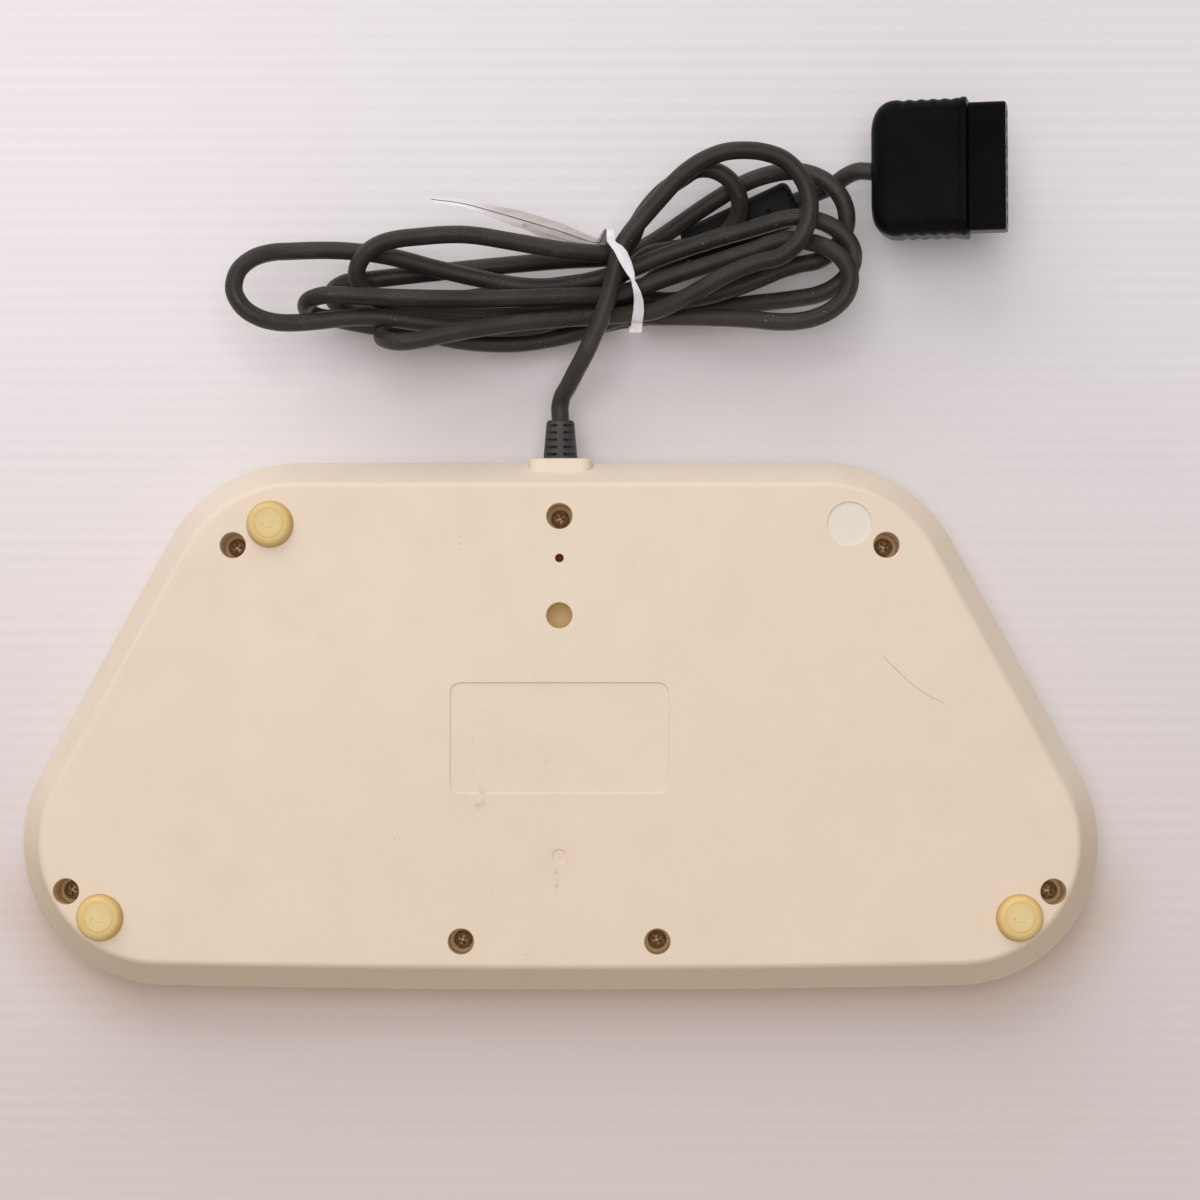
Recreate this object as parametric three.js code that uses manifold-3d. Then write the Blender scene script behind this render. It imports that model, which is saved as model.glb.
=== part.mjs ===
// A rhythm game controller for a console: a wide two-part case with nine large round buttons, standing
// on rubber feet, and behind it a tied hank of cord that ends in a console plug.
// Millimetres, +Z up, buttons on top, feet on z = 0. The player sits on the -Y side.

import * as THREE from 'three';
import { ConvexGeometry } from 'three/addons/geometries/ConvexGeometry.js';
import { mergeVertices } from 'three/addons/utils/BufferGeometryUtils.js';
import Module from 'manifold-3d';

const wasm = await Module();
wasm.setup();

// Case, seen from above
const caseWidth = 302;
const caseDepth = 148;
const frontCornerRadius = 40;
const backCornerRadius = 42;
const backStraight = 146.8;
const frontBow = 1.2;

// Case, seen from the side
const footStand = 3;
const rimRise = 14;
const deckRise = 36;
const flare = 6.1;
const undersideEdge = 1.2;
const rimBand = 1.5;
const partingGap = 0.3;
const sideLean = 2.6;
const deckEdge = 7;
const wall = 2.4;
const wallLip = 1.2;

// Fits
const seatGap = 0.3;
const runningGap = 0.5;
const cutOverrun = 1;

// Screws, their wells and posts
const wellBore = 7.2;
const wellWall = 1.1;
const wellDepth = 13;
const seatThickness = 2;
const screwHead = 5;
const screwHeadHeight = 2.2;
const screwShank = 2.6;
const screwLength = 14;
const screwSlot = 0.8;
const screwSlotDepth = 0.9;
const postWall = 2.4;
const middleWellInset = 15.9;
const backWellInset = 24;
const backWellBeyondCorner = 17.6;
const sideWellInset = 14.2;
const sideWellFrontInset = 27.8;
const frontWellInset = 14;
const frontWellPlace = 27.2;

// Underside details
const blankWellInset = 43.6;
const pinHole = 2.4;
const pinHoleInset = 27.6;
const labelWidth = 60.5;
const labelDepth = 30.5;
const labelCorner = 2.8;
const labelSink = 0.4;
const labelPlace = -3.6;
const gateMark = 4;
const gateMarkSink = 0.35;
const gateMarkInset = 37.6;

// Rubber feet
const footDiameter = 12.7;
const footHeight = 3.5;
const footRecessGap = 0.3;
const footCrownShares = [[0.5, 0], [0.8, 0.16], [0.95, 0.45], [1, 0.8]];
const backFootInset = 18.1;
const backFootBeyondCorner = 7.3;
const frontFootInset = 20.6;
const frontFootSideInset = 23.6;

// Large buttons
const buttonDiameter = 44;
const buttonRise = 9;
const buttonCrown = 6;
const buttonWall = 2.2;
const buttonFlange = 2.4;
const flangeThickness = 1.6;
const buttonPitch = 57;
const frontRowPlace = -30;
const backRowPlace = 21;
const frontRowCount = 5;
const backRowCount = 4;
const plungerDiameter = 12;
const guideWall = 1.6;
const guideDrop = 8;

// Rubber domes
const domeBase = 19;
const domeHeight = 7.4;
const domeRoof = 1.2;
const domeLip = 1.4;

// Small buttons
const smallButtonLength = 14;
const smallButtonWidth = 6;
const smallButtonRise = 1.6;
const smallButtonPlace = 23;
const smallButtonInset = 19;
const smallFlange = 1.2;
const smallStem = 5;
const smallDomeBase = 9;
const smallDomeHeight = 3.6;

// Circuit board and what is on it
const boardThickness = 1.6;
const boardDrop = 17.4;
const boardInset = 12;
const boardFrontInset = 10;
const boardPostDiameter = 6;
const boardPostClearance = 2;
const boardScrewHead = 4.6;
const boardScrewHeadHeight = 1.6;
const boardScrewShank = 2.2;
const boardScrewLength = 7;
const innerPostPlace = [57, 5];
const outerPostPlace = [112, 8];
const frontPostPlace = 84;
const frontPostInset = 24;
const chipSize = 16;
const chipHeight = 2.4;
const chipPlace = 40;
const chipInset = 36;
const socketWidth = 14;
const socketDepth = 6;
const socketHeight = 5;
const socketPlace = 14;
const socketInset = 32;

// Cord boss and strain relief
const bossWidth = 18;
const bossRise = 7;
const bossProud = 1;
const bossLength = 6.2;
const bossCorner = 3;
const reliefBase = 9.7;
const reliefTip = 7.9;
const reliefLength = 11.2;
const reliefFlange = 13;
const reliefFlangeThickness = 2;
const reliefSlot = 0.76;
const reliefSlotPitch = 2.13;
const reliefSlotCount = 5;
const reliefRib = 1.8;
const reliefSlotDepth = 1.9;
const reliefShoulder = 0.8;

// Cord
const cordDiameter = 5;
const cordSides = 8;
const hankSides = 6;
const hankSteps = 290;
const hankThinning = 2;
const leadSteps = 8;
const tailSteps = 18;
const tubeDivisions = 12;
const gapSamples = 4;

// Ferrite core on the cord
const ferriteLength = 34;
const ferriteWidth = 13;
const ferriteHeight = 11;
const ferriteCorner = 4;
const ferriteEdge = 2;
const ferriteBore = 6;
const ferritePinHole = 1.6;
const ferritePinPlace = 9;
const ferritePinDepth = 1.5;
const ferritePlace = [-51.7, 142.1, 22.4];
const ferriteTurn = 155.8;
const ferriteDip = 9;

// Twist tie round the hank
const tieWidth = 3.6;
const tieThickness = 0.6;
const tieReach = 5.2;
const tieSides = 8;
const tieTailZ = 10;
const tieTailEnds = [[8.2, 140.8], [30.5, 148.2]];

// Console plug
const plugPlace = [-88.3, 156.4, 13.1];
const plugDip = 11;
const plugTurn = 180;
const plugWidth = 39.5;
const plugBodyLength = 27;
const plugBodyHeight = 16;
const plugCorner = 7;
const plugEdge = 3;
const gripCount = 4;
const gripPitch = 4.1;
const gripDepth = 0.7;
const gripPlace = 17.5;
const noseWidth = 36.3;
const noseLength = 10.5;
const noseHeight = 9;
const noseCorner = 2;
const noseShank = 6;
const noseStep = 1.2;
const contactCount = 9;
const contactPitch = 3.7;
const contactHole = 2.4;
const contactHoleDepth = 8;
const contactPin = 1.2;
const contactPinLength = 6;
const contactBar = 2;

// Facets
const roundSides = 16;
const smallSides = 10;
const screwSides = 8;
const contactSides = 6;
const frontCornerSteps = 8;
const backCornerSteps = 5;
const bowSteps = 3;
const weldDistance = 0.0001;

// Places worked out from the sizes above, seen from above and with the case's middle at zero
const sideX = caseWidth / 2;
const backY = caseDepth / 2;
const backCornerX = backStraight / 2;
const allWells = [[0, backY - middleWellInset], ...bothSides([
  [backCornerX + backWellBeyondCorner, backY - backWellInset],
  [sideX - sideWellInset, sideWellFrontInset - backY],
  [frontWellPlace, frontWellInset - backY],
])];
const allFeet = bothSides([
  [backCornerX + backFootBeyondCorner, backY - backFootInset],
  [sideX - frontFootSideInset, frontFootInset - backY],
]);
const missingFoot = allFeet[0];
const boardPosts = bothSides([
  innerPostPlace,
  outerPostPlace,
  [frontPostPlace, frontPostInset - backY],
]);
const buttonPlaces = [...rowPlaces(frontRowCount, frontRowPlace), ...rowPlaces(backRowCount, backRowPlace)]
  .sort((a, b) => a[0] - b[0]);
const smallButtonPlaces = bothSides([[smallButtonPlace, backY - smallButtonInset]]);

function bothSides(places) {
  return places.flatMap(([x, y]) => [[-x, y], [x, y]]);
}

function rowPlaces(count, y) {
  return Array.from({ length: count }, (_, i) => [(i - (count - 1) / 2) * buttonPitch, y]);
}

// Levels worked out from the sizes above
const undersideZ = footStand;
const rimZ = undersideZ + rimRise;
const deckZ = undersideZ + deckRise;
const deckInnerZ = deckZ - wall;
const boardTopZ = deckZ - boardDrop;
const boardBottomZ = boardTopZ - boardThickness;
const seatZ = undersideZ + wellDepth;
const wellTopZ = seatZ + seatThickness;
const domeTopZ = boardTopZ + seatGap + domeHeight;
const buttonTopZ = deckZ + buttonRise;
const caseShiftY = -bossProud / 2;

// Colours
const cream = 0xe2d0ba;
const amber = 0xdcb87c;
const darkRubber = 0x3a3a34;
const black = 0x17171a;
const steel = 0x7d746a;
const boardGreen = 0x2f6b3c;
const outerColours = [0xf2f0ea, 0xf0c419, 0x2f9e52, 0x2b62b8];
const buttonColours = [...outerColours, 0xd2342c, ...outerColours.slice().reverse()];

function finish(colour, roughness, metalness) {
  return new THREE.MeshStandardMaterial({ color: colour, roughness, metalness });
}

const casePlastic = finish(cream, 0.5, 0);
const footRubber = finish(amber, 0.6, 0);
const cordRubber = finish(darkRubber, 0.7, 0);
const blackPlastic = finish(black, 0.35, 0);
const screwSteel = finish(steel, 0.4, 0.9);
const domeRubber = finish(0xd8d8d4, 0.7, 0);
const boardLaminate = finish(boardGreen, 0.5, 0);
const tieFilm = finish(0xf4f2f2, 0.4, 0);
const contactMetal = finish(0xc9a24a, 0.3, 1);
const greyPlastic = finish(0x8b8d90, 0.5, 0);
const greyRubber = finish(0x3c3e3c, 0.6, 0);

// Solids: three.js geometry in, one closed body out
function welded(geometry) {
  const bare = geometry.clone();
  bare.deleteAttribute('normal');
  bare.deleteAttribute('uv');
  const merged = mergeVertices(bare, weldDistance);
  const corners = Array.from(merged.index.array);
  const kept = [];
  for (let i = 0; i < corners.length; i += 3) {
    const [a, b, c] = corners.slice(i, i + 3);
    if (a !== b && b !== c && c !== a) {
      kept.push(a, b, c);
    }
  }
  merged.setIndex(kept);
  return merged;
}

function solid(geometry) {
  const body = welded(geometry);
  const vertProperties = Float32Array.from(body.attributes.position.array);
  const triVerts = Uint32Array.from(body.index.array);
  return new wasm.Manifold(new wasm.Mesh({ numProp: 3, vertProperties, triVerts }));
}

function joined(solids) {
  return solids.reduce((whole, piece) => whole.add(piece));
}

function cutFrom(whole, cuts) {
  return cuts.reduce((rest, piece) => rest.subtract(piece), whole);
}

function piece(name, manifold, material) {
  const mesh = manifold.getMesh();
  const geometry = new THREE.BufferGeometry();
  geometry.setAttribute('position', new THREE.BufferAttribute(mesh.vertProperties, 3));
  geometry.setIndex(new THREE.BufferAttribute(mesh.triVerts, 1));
  geometry.computeVertexNormals();
  const made = new THREE.Mesh(geometry, material);
  made.name = name;
  return made;
}

// Primitive shapes with their axes along Z
function rod(diameter, lowZ, highZ, x, y, sides = roundSides) {
  const geometry = new THREE.CylinderGeometry(diameter / 2, diameter / 2, highZ - lowZ, sides);
  geometry.rotateX(Math.PI / 2);
  geometry.translate(x, y, (lowZ + highZ) / 2);
  return solid(geometry);
}

function block(width, depth, lowZ, highZ, x, y) {
  const geometry = new THREE.BoxGeometry(width, depth, highZ - lowZ);
  geometry.translate(x, y, (lowZ + highZ) / 2);
  return solid(geometry);
}

function turned(profile, sides = roundSides) {
  const geometry = new THREE.LatheGeometry(profile.map(([r, z]) => new THREE.Vector2(r, z)), sides);
  geometry.rotateX(Math.PI / 2);
  return solid(geometry);
}

function roundedShape(width, depth, corner, cornerSteps = 1) {
  const points = [];
  for (let quarter = 0; quarter < 4; quarter += 1) {
    const sideX = quarter === 0 || quarter === 3 ? 1 : -1;
    const sideY = quarter < 2 ? 1 : -1;
    for (let step = 0; step <= cornerSteps; step += 1) {
      const angle = (quarter + step / cornerSteps) * Math.PI / 2;
      points.push(new THREE.Vector2(
        sideX * (width / 2 - corner) + corner * Math.cos(angle),
        sideY * (depth / 2 - corner) + corner * Math.sin(angle),
      ));
    }
  }
  return new THREE.Shape(points);
}

function slab(shape, lowZ, highZ) {
  const geometry = new THREE.ExtrudeGeometry(shape, { depth: highZ - lowZ, bevelEnabled: false });
  geometry.translate(0, 0, lowZ);
  return solid(geometry);
}

// Case outline: four corner circles and their common tangents, with a slightly bowed front
function outline(inset) {
  const front = new THREE.Vector2(
    sideX - frontCornerRadius,
    frontCornerRadius + frontBow - backY,
  );
  const back = new THREE.Vector2(backCornerX, backY - backCornerRadius);
  const slant = back.clone().sub(front);
  const tangent = slant.angle() - Math.acos((frontCornerRadius - backCornerRadius) / slant.length());
  const half = [];
  for (let step = 0; step < bowSteps; step += 1) {
    const along = step / bowSteps;
    half.push(new THREE.Vector2(front.x * along, inset - backY + frontBow * along * along));
  }
  const corners = [
    [front, frontCornerRadius, -Math.PI / 2, tangent, frontCornerSteps],
    [back, backCornerRadius, tangent, Math.PI / 2, backCornerSteps],
  ];
  for (const [centre, radius, from, to, steps] of corners) {
    for (let step = 0; step <= steps; step += 1) {
      const angle = from + (to - from) * step / steps;
      half.push(new THREE.Vector2(
        centre.x + (radius - inset) * Math.cos(angle),
        centre.y + (radius - inset) * Math.sin(angle),
      ));
    }
  }
  const mirrored = half.slice(1).reverse().map((point) => new THREE.Vector2(-point.x, point.y));
  return half.concat(mirrored);
}

// A closed solid through rings of the case outline, each [inset, z], listed upwards
function lofted(rings) {
  const positions = [];
  const index = [];
  for (const [inset, z] of rings) {
    for (const point of outline(inset)) {
      positions.push(point.x, point.y, z);
    }
  }
  const count = positions.length / 3 / rings.length;
  for (let ring = 0; ring + 1 < rings.length; ring += 1) {
    for (let i = 0; i < count; i += 1) {
      const next = (i + 1) % count;
      const low = ring * count;
      const high = low + count;
      index.push(low + i, low + next, high + next, low + i, high + next, high + i);
    }
  }
  const caps = THREE.ShapeUtils.triangulateShape(outline(rings[0][0]), []);
  const last = (rings.length - 1) * count;
  for (const [a, b, c] of caps) {
    index.push(c, b, a, last + a, last + b, last + c);
  }
  const geometry = new THREE.BufferGeometry();
  geometry.setAttribute('position', new THREE.Float32BufferAttribute(positions, 3));
  geometry.setIndex(index);
  return solid(geometry);
}

function edgeRings(steps, radius, insetAtEdge, z, upwards) {
  const rings = [];
  for (let step = 0; step <= steps; step += 1) {
    const angle = step / steps * Math.PI / 2;
    const inset = insetAtEdge + radius * (1 - Math.sin(angle));
    const rise = radius * (1 - Math.cos(angle));
    rings.push([inset, upwards ? z + rise : z - rise]);
  }
  return upwards ? rings : rings.reverse();
}

// Bottom case
const wellOuter = wellBore + 2 * wellWall;
const bossLowZ = rimZ - bossRise;
const bossHighZ = rimZ + bossRise;
const bossEndY = backY + bossProud;
const shankBore = screwShank + 2 * seatGap;

function bossSolid() {
  const geometry = new THREE.ExtrudeGeometry(
    roundedShape(bossWidth, bossHighZ - bossLowZ, bossCorner, 3),
    { depth: bossLength, bevelEnabled: false },
  );
  geometry.rotateX(Math.PI / 2);
  geometry.translate(0, bossEndY, rimZ);
  return solid(geometry);
}

function reliefCuts() {
  const through = turned([
    [0, -cutOverrun],
    [reliefBase / 2 + seatGap, -cutOverrun],
    [reliefBase / 2 + seatGap, bossLength + cutOverrun],
    [0, bossLength + cutOverrun],
  ]);
  const flangeRoom = turned([
    [0, wall],
    [reliefFlange / 2 + seatGap, wall],
    [reliefFlange / 2 + seatGap, wall + reliefFlangeThickness + 2 * seatGap],
    [0, wall + reliefFlangeThickness + 2 * seatGap],
  ]);
  const pair = through.add(flangeRoom);
  return pair.rotate([90, 0, 0]).translate([0, bossEndY, rimZ]);
}

function bottomCase() {
  const side = undersideEdge / 2;
  const floorTopZ = undersideZ + wall;
  const outer = lofted([
    ...edgeRings(3, undersideEdge, flare, undersideZ, true),
    [0, rimZ - rimBand],
    [0, rimZ],
  ]);
  const inner = lofted([
    [flare + wall + side, floorTopZ],
    [wall, rimZ - rimBand],
    [wall, rimZ + cutOverrun],
  ]);
  const halfBoss = bossSolid().subtract(block(
    bossWidth + 2 * cutOverrun, 2 * bossLength, rimZ, bossHighZ + cutOverrun, 0, bossEndY,
  ));
  const wells = allWells.map(([x, y]) => rod(wellOuter, undersideZ + wall / 2, wellTopZ, x, y, smallSides));
  const blank = rod(wellOuter, undersideZ + wall / 2, seatZ, 0, backY - blankWellInset, smallSides);
  const label = roundedShape(labelWidth, labelDepth, labelCorner, 3);
  const cuts = [
    ...allWells.map(([x, y]) => rod(wellBore, undersideZ - cutOverrun, seatZ, x, y)),
    ...allWells.map(([x, y]) => rod(
      shankBore, seatZ - cutOverrun, wellTopZ + cutOverrun, x, y, smallSides,
    )),
    rod(wellBore, undersideZ - cutOverrun, seatZ - wall, 0, backY - blankWellInset),
    rod(pinHole, undersideZ - cutOverrun, floorTopZ + cutOverrun, 0, backY - pinHoleInset, smallSides),
    ...allFeet.map(([x, y]) => rod(
      footDiameter + 2 * footRecessGap, undersideZ - cutOverrun, undersideZ + footHeight - footStand, x, y,
    )),
    rod(gateMark, undersideZ - cutOverrun, undersideZ + gateMarkSink, 0, gateMarkInset - backY, smallSides),
    slab(label, undersideZ - cutOverrun, undersideZ + labelSink).translate([0, labelPlace, 0]),
    reliefCuts(),
  ];
  const shell = outer.subtract(inner);
  return cutFrom(joined([shell, halfBoss, ...wells, blank]), cuts);
}

// Top case
const guideBore = buttonDiameter + 2 * buttonFlange + 2 * runningGap;
const postDiameter = shankBore + 2 * postWall;
const smallHoleLength = smallButtonLength + 2 * seatGap;
const smallHoleWidth = smallButtonWidth + 2 * seatGap;

function topCase() {
  const lowZ = rimZ + partingGap;
  const outer = lofted([
    [0, lowZ],
    [0, lowZ + rimBand],
    ...edgeRings(3, deckEdge, sideLean, deckZ, false),
  ]);
  const inner = lofted([
    [wall, lowZ - cutOverrun],
    [wall, lowZ + rimBand],
    [wall + sideLean, deckZ - deckEdge],
    [wall + sideLean + wallLip, deckInnerZ],
  ]);
  const halfBoss = bossSolid().subtract(block(
    bossWidth + 2 * cutOverrun, 2 * bossLength, bossLowZ - cutOverrun, lowZ, 0, bossEndY,
  ));
  const guides = buttonPlaces.map(([x, y]) => rod(
    guideBore + 2 * guideWall, deckInnerZ - guideDrop, deckInnerZ + wall / 2, x, y,
  ));
  const posts = allWells.map(([x, y]) => rod(
    postDiameter, wellTopZ + seatGap, deckInnerZ + wall / 2, x, y, smallSides,
  ));
  const boardHangers = boardPosts.map(([x, y]) => rod(
    boardPostDiameter, boardTopZ + seatGap, deckInnerZ + wall / 2, x, y, smallSides,
  ));
  const cuts = [
    ...buttonPlaces.map(([x, y]) => rod(
      buttonDiameter + 2 * runningGap, deckInnerZ - cutOverrun, deckZ + cutOverrun, x, y,
    )),
    ...buttonPlaces.map(([x, y]) => rod(guideBore, deckInnerZ - guideDrop - cutOverrun, deckInnerZ, x, y)),
    ...allWells.map(([x, y]) => rod(
      shankBore, wellTopZ - cutOverrun, seatZ + screwLength + seatGap, x, y, smallSides,
    )),
    ...boardPosts.map(([x, y]) => rod(
      boardScrewShank + 2 * seatGap,
      boardTopZ - cutOverrun,
      boardBottomZ + boardScrewLength + seatGap,
      x,
      y,
      smallSides,
    )),
    ...smallButtonPlaces.map(([x, y]) => slab(
      roundedShape(smallHoleLength, smallHoleWidth, smallHoleWidth / 2, 4),
      deckInnerZ - cutOverrun,
      deckZ + cutOverrun,
    ).translate([x, y, 0])),
    reliefCuts(),
  ];
  const shell = outer.subtract(inner);
  return cutFrom(joined([shell, halfBoss, ...guides, ...posts, ...boardHangers]), cuts);
}

// Large button: a crowned cap with a retaining flange and a plunger over its dome
function buttonCap() {
  const radius = buttonDiameter / 2;
  const shoulderZ = buttonTopZ - buttonCrown;
  const flangeTopZ = deckInnerZ - seatGap;
  const innerRadius = radius - buttonWall;
  const crown = [];
  const crownSteps = 2;
  for (let step = 0; step <= crownSteps; step += 1) {
    const angle = step / crownSteps * Math.PI / 2;
    crown.push([radius * Math.cos(angle), shoulderZ + buttonCrown * Math.sin(angle)]);
  }
  crown[crownSteps][0] = 0;
  return turned([
    [0, domeTopZ + seatGap],
    [plungerDiameter / 2, domeTopZ + seatGap],
    [plungerDiameter / 2, buttonTopZ - 2 * buttonWall],
    [innerRadius, shoulderZ - buttonWall],
    [innerRadius, flangeTopZ - flangeThickness],
    [radius + buttonFlange, flangeTopZ - flangeThickness],
    [radius + buttonFlange, flangeTopZ],
    [radius, flangeTopZ],
    ...crown,
  ]);
}

// Rubber dome: an open cup with a foot lip, and a flat roof under the plunger
function rubberDome(base, height, sides) {
  const roofRadius = base / 3;
  const floorZ = boardTopZ + seatGap;
  return turned([
    [0, floorZ + height - domeRoof],
    [roofRadius - domeRoof, floorZ + height - domeRoof],
    [base / 2 - domeRoof - domeLip, floorZ],
    [base / 2, floorZ],
    [base / 2, floorZ + domeRoof],
    [base / 2 - domeLip, floorZ + domeRoof],
    [roofRadius, floorZ + height],
    [0, floorZ + height],
  ], sides);
}

// Small button: an oblong key with a flange under the deck and a stem down to its dome
function smallButton() {
  const flangeTopZ = deckInnerZ - seatGap;
  const key = slab(
    roundedShape(smallButtonLength, smallButtonWidth, smallButtonWidth / 2, 4),
    flangeTopZ - flangeThickness,
    deckZ + smallButtonRise,
  );
  const flangeLength = smallButtonLength + 2 * smallFlange;
  const flangeWidth = smallButtonWidth + 2 * smallFlange;
  const flange = slab(
    roundedShape(flangeLength, flangeWidth, flangeWidth / 2, 4),
    flangeTopZ - flangeThickness,
    flangeTopZ,
  );
  const stemZ = boardTopZ + 2 * seatGap + smallDomeHeight;
  return joined([key, flange, rod(smallStem, stemZ, flangeTopZ - flangeThickness / 2, 0, 0, smallSides)]);
}

// Circuit board, notched round the screw posts
function circuitBoard() {
  const plate = lofted([[boardInset, boardBottomZ], [boardInset, boardTopZ]]);
  const cutLowZ = boardBottomZ - cutOverrun;
  const cutHighZ = boardTopZ + cutOverrun;
  const notch = postDiameter + 2 * boardPostClearance;
  const screwHole = boardScrewShank + 2 * seatGap;
  const frontMiddle = boardInset - backY + boardFrontInset / 2 - cutOverrun;
  const cuts = [
    ...allWells.map(([x, y]) => rod(notch, cutLowZ, cutHighZ, x, y, smallSides)),
    ...boardPosts.map(([x, y]) => rod(screwHole, cutLowZ, cutHighZ, x, y, smallSides)),
    block(caseWidth, boardFrontInset, cutLowZ, cutHighZ, 0, frontMiddle),
  ];
  return cutFrom(plate, cuts);
}

// A pan-head screw that points up, with its head in a well and a cross recess in the head
function screw(headDiameter, headHeight, shankDiameter, length, seatLevel) {
  const headZ = seatLevel - seatGap;
  const body = turned([
    [0, headZ - headHeight],
    [headDiameter / 3, headZ - headHeight],
    [headDiameter / 2, headZ - headHeight / 2],
    [headDiameter / 2, headZ],
    [shankDiameter / 2, headZ],
    [shankDiameter / 2, headZ + length - shankDiameter / 2],
    [0, headZ + length],
  ], screwSides);
  const slotLength = headDiameter * 2 / 3;
  const slotTopZ = headZ - headHeight + screwSlotDepth;
  return cutFrom(body, [
    block(slotLength, screwSlot, headZ - headHeight - cutOverrun, slotTopZ, 0, 0),
    block(screwSlot, slotLength, headZ - headHeight - cutOverrun, slotTopZ, 0, 0),
  ]);
}

// Rubber foot: a flat-topped dome, pressed upwards into its recess
function rubberFoot() {
  const topZ = undersideZ + footHeight - footStand - footRecessGap;
  const radius = footDiameter / 2;
  return turned([
    [0, 0],
    ...footCrownShares.map(([out, up]) => [radius * out, footStand * up]),
    [radius, topZ],
    [0, topZ],
  ]);
}

// Strain relief: a flange held in the boss, and a slotted tail with a middle rib
const reliefRootY = bossEndY - wall - seatGap;
const reliefEndY = bossEndY + reliefLength;

function strainRelief() {
  const body = turned([
    [0, 0],
    [reliefFlange / 2, 0],
    [reliefFlange / 2, reliefFlangeThickness],
    [reliefBase / 2, reliefFlangeThickness],
    [reliefBase / 2, reliefEndY - reliefLength - reliefRootY + reliefFlangeThickness + seatGap],
    [reliefTip / 2, reliefEndY - reliefRootY + reliefFlangeThickness - reliefShoulder],
    [reliefTip / 2 - reliefShoulder, reliefEndY - reliefRootY + reliefFlangeThickness],
    [0, reliefEndY - reliefRootY + reliefFlangeThickness],
  ]).rotate([-90, 0, 0]).translate([0, reliefRootY - reliefFlangeThickness, rimZ]);
  const slots = [];
  for (let slot = 0; slot < reliefSlotCount; slot += 1) {
    const y = reliefEndY - reliefSlotPitch / 2 - slot * reliefSlotPitch;
    for (const side of [-1, 1]) {
      for (const level of [-1, 1]) {
        const x = side * (reliefRib / 2 + reliefBase / 2);
        const z = rimZ + level * (reliefBase / 2 - reliefSlotDepth + reliefBase / 2);
        slots.push(block(reliefBase, reliefSlot, z - reliefBase / 2, z + reliefBase / 2, x, y));
      }
    }
  }
  return cutFrom(body, slots);
}

// Cord route. The tie is the middle of the hank: u runs away from it, v runs towards +Y.
// Each strand crosses the tie in one of four columns and four layers, and the lead under all of them.
const tieX = -17.4;
const tieY = 124.6;
const cordPitch = 6.05;
const crossingPitch = 6.1;
const cordRadius = cordDiameter / 2;
// The tie's crossings, in the order of the cord: how many pitches each lies to the side and up
const waistShares = [
  [1.5, 0], [-1.5, 1], [-1.5, 2], [-0.5, 1], [-1.5, 3], [0.5, 1], [-0.5, 2], [1.5, 3], [0.5, 2], [1.5, 1],
  [-0.5, 3],
];

// One bight a row, in the order of the cord. side: +1 towards -X. reach: tip's distance from the tie.
// tip and half: the middle and half width of the end loop. turn: the depth of the end loop. bow and
// sway: how each leg bulges. first: +1 where the cord goes out on the +Y leg. rank: which legs lie
// under which, lowest first. turnRank: the same within the end loop, where it differs. base: how far
// the end loop starts above the ground. stand: how far its returning side stands above that.
const bights = [
  { side: 1, reach: 52.6, tip: 20, half: 15.8, turn: 15.6, bow: [7.9, -2.3], sway: [-0.5, -1.1], first: 1,
    rank: [0, 0], base: 0, stand: 0 },
  { side: -1, reach: 67.4, tip: -15.4, half: 2.4, turn: 7, bow: [1.3, -5.4], sway: [0, 0], first: -1,
    rank: [0.5, 3.5], base: 0, stand: 14 },
  { side: 1, reach: 63.9, tip: -0.2, half: 11.9, turn: 17, bow: [0.5, 0], sway: [0, 0], first: -1,
    rank: [1, 1], base: 0, stand: 0 },
  { side: -1, reach: 88.9, tip: -7, half: 2.4, turn: 7, bow: [-1.6, -4.5], sway: [0, 0], first: 1,
    rank: [0, 4], base: 0, stand: 14 },
  { side: 1, reach: 65.2, tip: 6.8, half: 11.2, turn: 17, bow: [0.3, 0.8], sway: [0, 0], first: -1,
    rank: [2, 2], base: 0, stand: 0 },
  { side: -1, reach: 108.5, tip: -2, half: 10.2, turn: 14, bow: [-3, -4.9], sway: [-3.4, -3], first: 1,
    rank: [2, 1], base: 0, stand: 0 },
  { side: 1, reach: 63.6, tip: 18.3, half: 13.6, turn: 16, bow: [-4.3, 2], sway: [-0.3, -1.6], first: -1,
    rank: [1.5, 4], turnRank: [2.5, 4], base: 0, stand: 0 },
  { side: -1, reach: 82.5, tip: -2.5, half: 3.4, turn: 7, bow: [0.3, -0.8], sway: [0, 0], first: 1,
    rank: [4, 5], base: 11.9, stand: 12 },
  { side: 1, reach: 33.3, tip: 22, half: 9.9, turn: 11, bow: [2, 4.6], sway: [1, 0.5], first: -1,
    rank: [2.6, 2.6], base: 0, stand: 0 },
  { side: -1, reach: 74.4, tip: 1.8, half: 9.8, turn: 16, bow: [0.1, -3], sway: [-1.4, 0], first: 1,
    rank: [1, 3], base: 0, stand: 0 },
];
const legSteps = 4;
const turnSteps = 6;
const fineSteps = 6;
const settlePasses = 600;
const givingPasses = 300;
const sag = 0.08;
const easeSteps = 4;
const pinReach = 2.5;
const nearbyAlong = 16;
const tieFall = 5;

function layerZ(layer) {
  return tieThickness + 4 * seatGap + cordRadius + layer * cordPitch;
}

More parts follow.
